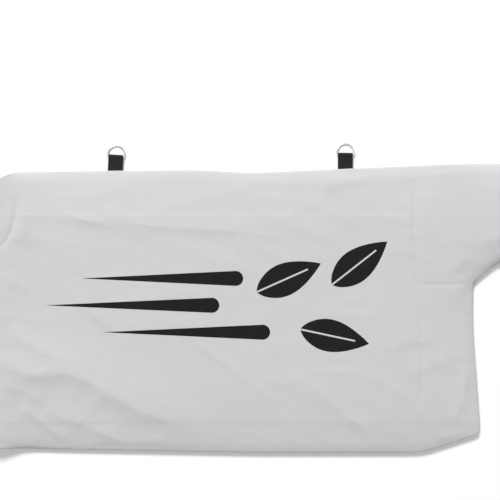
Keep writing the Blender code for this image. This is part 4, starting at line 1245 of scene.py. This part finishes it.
def makeTeeth(name, sign, x, mid):
    low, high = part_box("zip_stop_bottom")[1].y + 1 * mm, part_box("zip_stop_upper")[0].y - 1 * mm
    mesh = bmesh.new()
    made = bmesh.ops.create_cube(mesh, size=1)["verts"]
    bmesh.ops.scale(
        mesh, vec=(zipLook["toothHeight"], zipLook["toothWidth"], zipLook["toothLength"]), verts=made
    )
    tip = [vert for vert in mesh.verts if vert.co.z * sign < 0]
    bmesh.ops.scale(mesh, vec=zipLook["toothTip"], verts=tip)
    bevelEdges(mesh, mesh.edges[:], zipLook["toothRound"], 1)
    shift = zipLook["toothPitch"] / 2 if sign > 0 else 0
    count = int((high - low - shift) / zipLook["toothPitch"])
    across = mid + sign * (zipLook["toothLength"] / 2 - zipLook["toothOverlap"])
    bmesh.ops.translate(mesh, verts=mesh.verts, vec=(x, low + shift + zipLook["toothWidth"], across))
    first = mesh.verts[:] + mesh.edges[:] + mesh.faces[:]
    for k in range(1, count):
        copy = bmesh.ops.duplicate(mesh, geom=first)["geom"]
        bmesh.ops.translate(mesh, verts=vertsOf(copy), vec=(0, k * zipLook["toothPitch"], 0))
    beadZ = mid + sign * (zipLook["toothLength"] - zipLook["toothOverlap"])
    made = bmesh.ops.create_cone(
        mesh, cap_ends=True, segments=10, radius1=zipLook["bead"], radius2=zipLook["bead"], depth=high - low
    )["verts"]
    turn = Matrix.Rotation(math.radians(90), 3, "X")
    bmesh.ops.rotate(mesh, verts=made, matrix=turn)
    bmesh.ops.translate(mesh, verts=made, vec=(x, (high + low) / 2, beadZ))
    finishPiece(f"teeth_{name}", mesh, moulded, "bag", [f"zip_tape_{name}"])


for rowName, rowSign in (("upper", 1), ("lower", -1)):
    tapeX, zipMid = makeTape(rowName, rowSign)
    makeTeeth(rowName, rowSign, tapeX, zipMid)
for stopNode in ("zip_stop_bottom", "zip_stop_upper", "zip_stop_lower"):
    softened(stopNode.replace("zip_", "zip_end_"), stopNode, 0.25 * mm, 2, moulded, "bag")
softened("slider_body", "zip_slider", 0.22 * mm, 2, lacquer, "slider")
softened("pull_tag", "zip_pull", 0.2 * mm, 2, lacquer, "pull")
print("zip made")


# Cuff, strap and buckle on the neck

cuffLook = {
    "step": 2.4 * mm,
    "thickness": 0.8 * mm,
    "rows": (3.0 * mm, 6.0 * mm, 42.5 * mm),  # stitch rows, from the mouth
    "pucker": 0.12 * mm,
    "puckerPitch": 7 * mm,
    "puckerRun": 24 * mm,  # along the neck
    "puckerReach": 4 * mm,  # from a stitch row
    "stitchDip": 0.1 * mm,
    "dipReach": 0.9 * mm,
    "stitchLift": 0.1 * mm,
    "stitch": {"length": 2.6 * mm, "width": 0.5 * mm, "height": 0.34 * mm},
    "stitchPitch": 3.2 * mm,
}


def makeCuff():
    loops = sideLoops(mergedCopy("neck_cuff"), Vector((1, 0, 0)))
    outline = max(loops, key=lambda loop: pathLength(loop + loop[:1]))
    section = evenly(outline + outline[:1], cuffLook["step"])[:-1]
    start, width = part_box("neck_cuff")[0].x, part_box("neck_cuff")[1].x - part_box("neck_cuff")[0].x
    girth = len(section)
    centre = sum(section, Vector((0, 0, 0))) / girth
    normals = []
    for i, spot in enumerate(section):
        out = (section[(i + 1) % girth] - section[i - 1]).cross(Vector((1, 0, 0))).normalized()
        normals.append(out if out.dot(spot - centre) > 0 else -out)
    mesh = bmesh.new()
    ring = [mesh.verts.new(spot) for spot in section]
    for a, b in zip(ring, ring[1:] + ring[:1]):
        mesh.edges.new((a, b))
    order = {vert: i for i, vert in enumerate(ring)}
    turnOf = dict(order)
    steps = round(width / cuffLook["step"])
    radius = girth * cuffLook["step"] / (2 * math.pi) / cuffLook["puckerPitch"]
    for k in range(steps + 1):
        if k:
            pairs = grow(mesh, set(order))
            order = {pairs[old]: i for old, i in order.items()}
            turnOf.update(order)
        along = width * k / steps
        near = min(abs(width - along - row) for row in cuffLook["rows"])
        for vert, i in order.items():
            turn = 2 * math.pi * i / girth
            spot = Vector((math.cos(turn), math.sin(turn), along / cuffLook["puckerRun"]))
            wave = noise.noise(spot * radius)
            lift = cuffLook["pucker"] * wave * math.exp(-near / cuffLook["puckerReach"])
            lift -= cuffLook["stitchDip"] * math.exp(-((near / cuffLook["dipReach"]) ** 2))
            vert.co = section[i] + normals[i] * lift
            vert.co.x = start + along
    bmesh.ops.recalc_face_normals(mesh, faces=mesh.faces)
    cut = mesh.loops.layers.float_vector.new("cut")
    for face in mesh.faces:
        last = max(turnOf[vert] for vert in face.verts)
        for corner in face.loops:
            turn = turnOf[corner.vert]
            run = (turn if last - turn < 2 else girth) * cuffLook["step"]
            corner[cut] = (corner.vert.co.x, run, 0)
    piece = finishPiece("cuff_band", mesh, cloth, "bag", ["neck_cuff"])
    addSolidify(piece, cuffLook["thickness"], -1)
    places = []
    for row in cuffLook["rows"]:
        x = start + width - row
        lifted = (spot + out * cuffLook["stitchLift"] for spot, out in zip(section, normals))
        spots = [Vector((x, spot.y, spot.z)) for spot in lifted]
        count = round(girth * cuffLook["step"] / cuffLook["stitchPitch"])
        for k in range(count):
            t = k * girth / count
            i = int(t)
            a, b = spots[i], spots[(i + 1) % girth]
            up = (normals[i] + normals[(i + 1) % girth]).normalized()
            places.append((a.lerp(b, t - i), (b - a).normalized(), up))
    stitches("cuff_stitches", places, paleThread, "bag", cuffLook["stitch"])
    return piece


strapLook = {
    "width": 25 * mm,
    "thickness": 1.3 * mm,
    "keeperWidth": 12 * mm,
    "keeperThickness": 1.2 * mm,
    "stitch": {"length": 2.4 * mm, "width": 0.5 * mm, "height": 0.36 * mm},
    "stitchPitch": 2.9 * mm,
    "stitchRows": (1.6 * mm, 4.2 * mm),  # from each end of a keeper
    "stitchInset": 1.2 * mm,
    "stitchLift": 0.05 * mm,
}


def makeStrap():
    across = Vector((1, 0, 0))
    route = rounded(stripRoute("neck_strap", across, strapLook["thickness"]), 1.0 * mm, 2)
    band = sweepBand(route, across, strapLook["width"], strapLook["thickness"])
    finishPiece("neck_webbing", band, webbing, "bag", ["neck_strap"])


def makeKeeper(name):
    node = f"strap_keeper_{name}"
    mesh = mergedCopy(node)
    across = max(mesh.faces, key=lambda face: face.normal.y).normal.copy()
    mesh.free()
    route = rounded(stripRoute(node, across, strapLook["keeperThickness"]), 0.7 * mm, 2)
    band = sweepBand(route, across, strapLook["keeperWidth"], strapLook["keeperThickness"])
    finishPiece(f"keeper_webbing_{name}", band, webbing, "bag", [node])
    up = Vector((1, 0, 0)).cross(across)
    places = []
    for end, near in ((route[0], route[5]), (route[-1], route[-6])):
        inward = (near - end).normalized()
        for step in strapLook["stitchRows"]:
            spot = end + inward * step + up * (strapLook["keeperThickness"] / 2 + strapLook["stitchLift"])
            half = across * (strapLook["keeperWidth"] / 2 - strapLook["stitchInset"])
            places += rowOfStitches(spot - half, spot + half, up, strapLook["stitchPitch"])
    stitches(f"keeper_stitches_{name}", places, thread, "bag", strapLook["stitch"])


cuffBand = makeCuff()
makeStrap()
makeKeeper("upper")
makeKeeper("lower")
softened("buckle_channel", "buckle_frame", 0.3 * mm, 2, zinc, "bag")
softened("buckle_rivet", "buckle_pin", 0.15 * mm, 2, zinc, "bag")
softened("buckle_handle", "buckle_lever", 0.4 * mm, 3, zinc, "lever")
print("neck made")


# Sheets of cloth, with the size that each was cut to

def flatSize(piece):
    spots = [item.vector for item in piece.data.attributes["cut"].data]
    xs, ys = [spot[0] for spot in spots], [spot[1] for spot in spots]
    area = sum(face.area for face in piece.data.polygons)
    return (max(xs) - min(xs), max(ys) - min(ys)), area


for piece, held, rests in (
    (backCloth, "laid", []),
    (frontCloth, "laid", [backCloth.name]),
    (cuffBand, "laid", [frontCloth.name, backCloth.name]),
):
    size, area = flatSize(piece)
    print(piece.name, "cut to", [round(side, 3) for side in size], "area", round(area, 4))
    area if piece is not cuffBand else None
    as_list(rests)


# Floor, lamps and camera

studio = {
    "floorColour": 0.9,
    "floorGlow": 0.12,  # seen by the camera only, so that the floor shows white
    "floorFade": (1.4, 3.4),  # distances between which the floor turns into the white backdrop
    "floorHalf": 12,
    "floorDrop": 0.05 * mm,
    "worldLevel": 0.44,
    "worldColour": (0.985, 0.99, 1.0, 1),
    "keyPlace": (-2.1, 6.6, 5.8),
    "keyTarget": (-0.04, 0.05, 0),
    "keySize": 2.4,
    "keyPower": 770.0,
    "keyColour": (1.0, 0.995, 0.985),
    "cameraSpot": (-0.04412, 0.08021),
    "viewWidth": 0.84,  # at the height of the bag's edge
    "edgeHeight": 7 * mm,
    "lens": 100,
}


def seenDirectly(add):
    # 1 for what the camera, a reflection or a clear part sees, 0 for light that only falls on things
    rays = add("ShaderNodeLightPath").outputs
    value = rays["Is Camera Ray"]
    for name in ("Is Glossy Ray", "Is Transmission Ray"):
        value = add("ShaderNodeMath", {0: value, 1: rays[name]}, operation="MAXIMUM").outputs[0]
    return value


def makeFloor():
    # a white table that turns into the white backdrop away from the bag
    made = bpy.data.materials.new("studio_floor")
    made.use_nodes = True
    made.node_tree.nodes.clear()
    add = adder(made.node_tree)
    place = add("ShaderNodeTexCoord").outputs["Object"]
    distance = add("ShaderNodeVectorMath", {0: place}, operation="LENGTH").outputs["Value"]
    colour, glow = (
        between(add, distance, near, far, *studio["floorFade"], interpolation_type="SMOOTHSTEP")
        for near, far in ((studio["floorColour"], 0.0), (studio["floorGlow"], 1.0))
    )
    level = add("ShaderNodeMath", {0: seenDirectly(add), 1: glow}, operation="MULTIPLY").outputs[0]
    soft = add("ShaderNodeBsdfDiffuse", {"Color": colour}).outputs[0]
    light = add("ShaderNodeEmission", {"Strength": level}).outputs[0]
    both = add("ShaderNodeAddShader", {0: soft, 1: light}).outputs[0]
    add("ShaderNodeOutputMaterial", {"Surface": both})
    mesh = bmesh.new()
    bmesh.ops.create_grid(mesh, x_segments=1, y_segments=1, size=studio["floorHalf"])
    bmesh.ops.translate(mesh, verts=mesh.verts, vec=(0, 0, -studio["floorDrop"]))
    data = meshData("floor", mesh)
    data.materials.append(made)
    link("floor", data)


def makeWorld():
    world = bpy.data.worlds.new("studio_world")
    bpy.context.scene.world = world
    world.use_nodes = True
    add = adder(world.node_tree)
    level = between(add, seenDirectly(add), studio["worldLevel"], 1.0)
    feed(world.node_tree.nodes["Background"], {"Strength": level, "Color": studio["worldColour"]})


def makeKey():
    lamp = bpy.data.lights.new("key", "AREA")
    lamp.size = studio["keySize"]
    lamp.energy = studio["keyPower"]
    lamp.color = studio["keyColour"]
    key = link("key", lamp)
    key.location = studio["keyPlace"]
    toBag = Vector(studio["keyTarget"]) - key.location
    key.rotation_euler = toBag.to_track_quat("-Z", "Y").to_euler()


def makeCamera():
    data = bpy.data.cameras.new("camera")
    data.lens = studio["lens"]
    data.sensor_width = 36
    camera = link("camera", data)
    distance = studio["viewWidth"] * data.lens / data.sensor_width
    camera.location = (*studio["cameraSpot"], studio["edgeHeight"] + distance)
    bpy.context.scene.camera = camera


makeFloor()
makeWorld()
makeKey()
makeCamera()
bpy.context.scene.view_settings.view_transform = "Standard"
print("studio made")
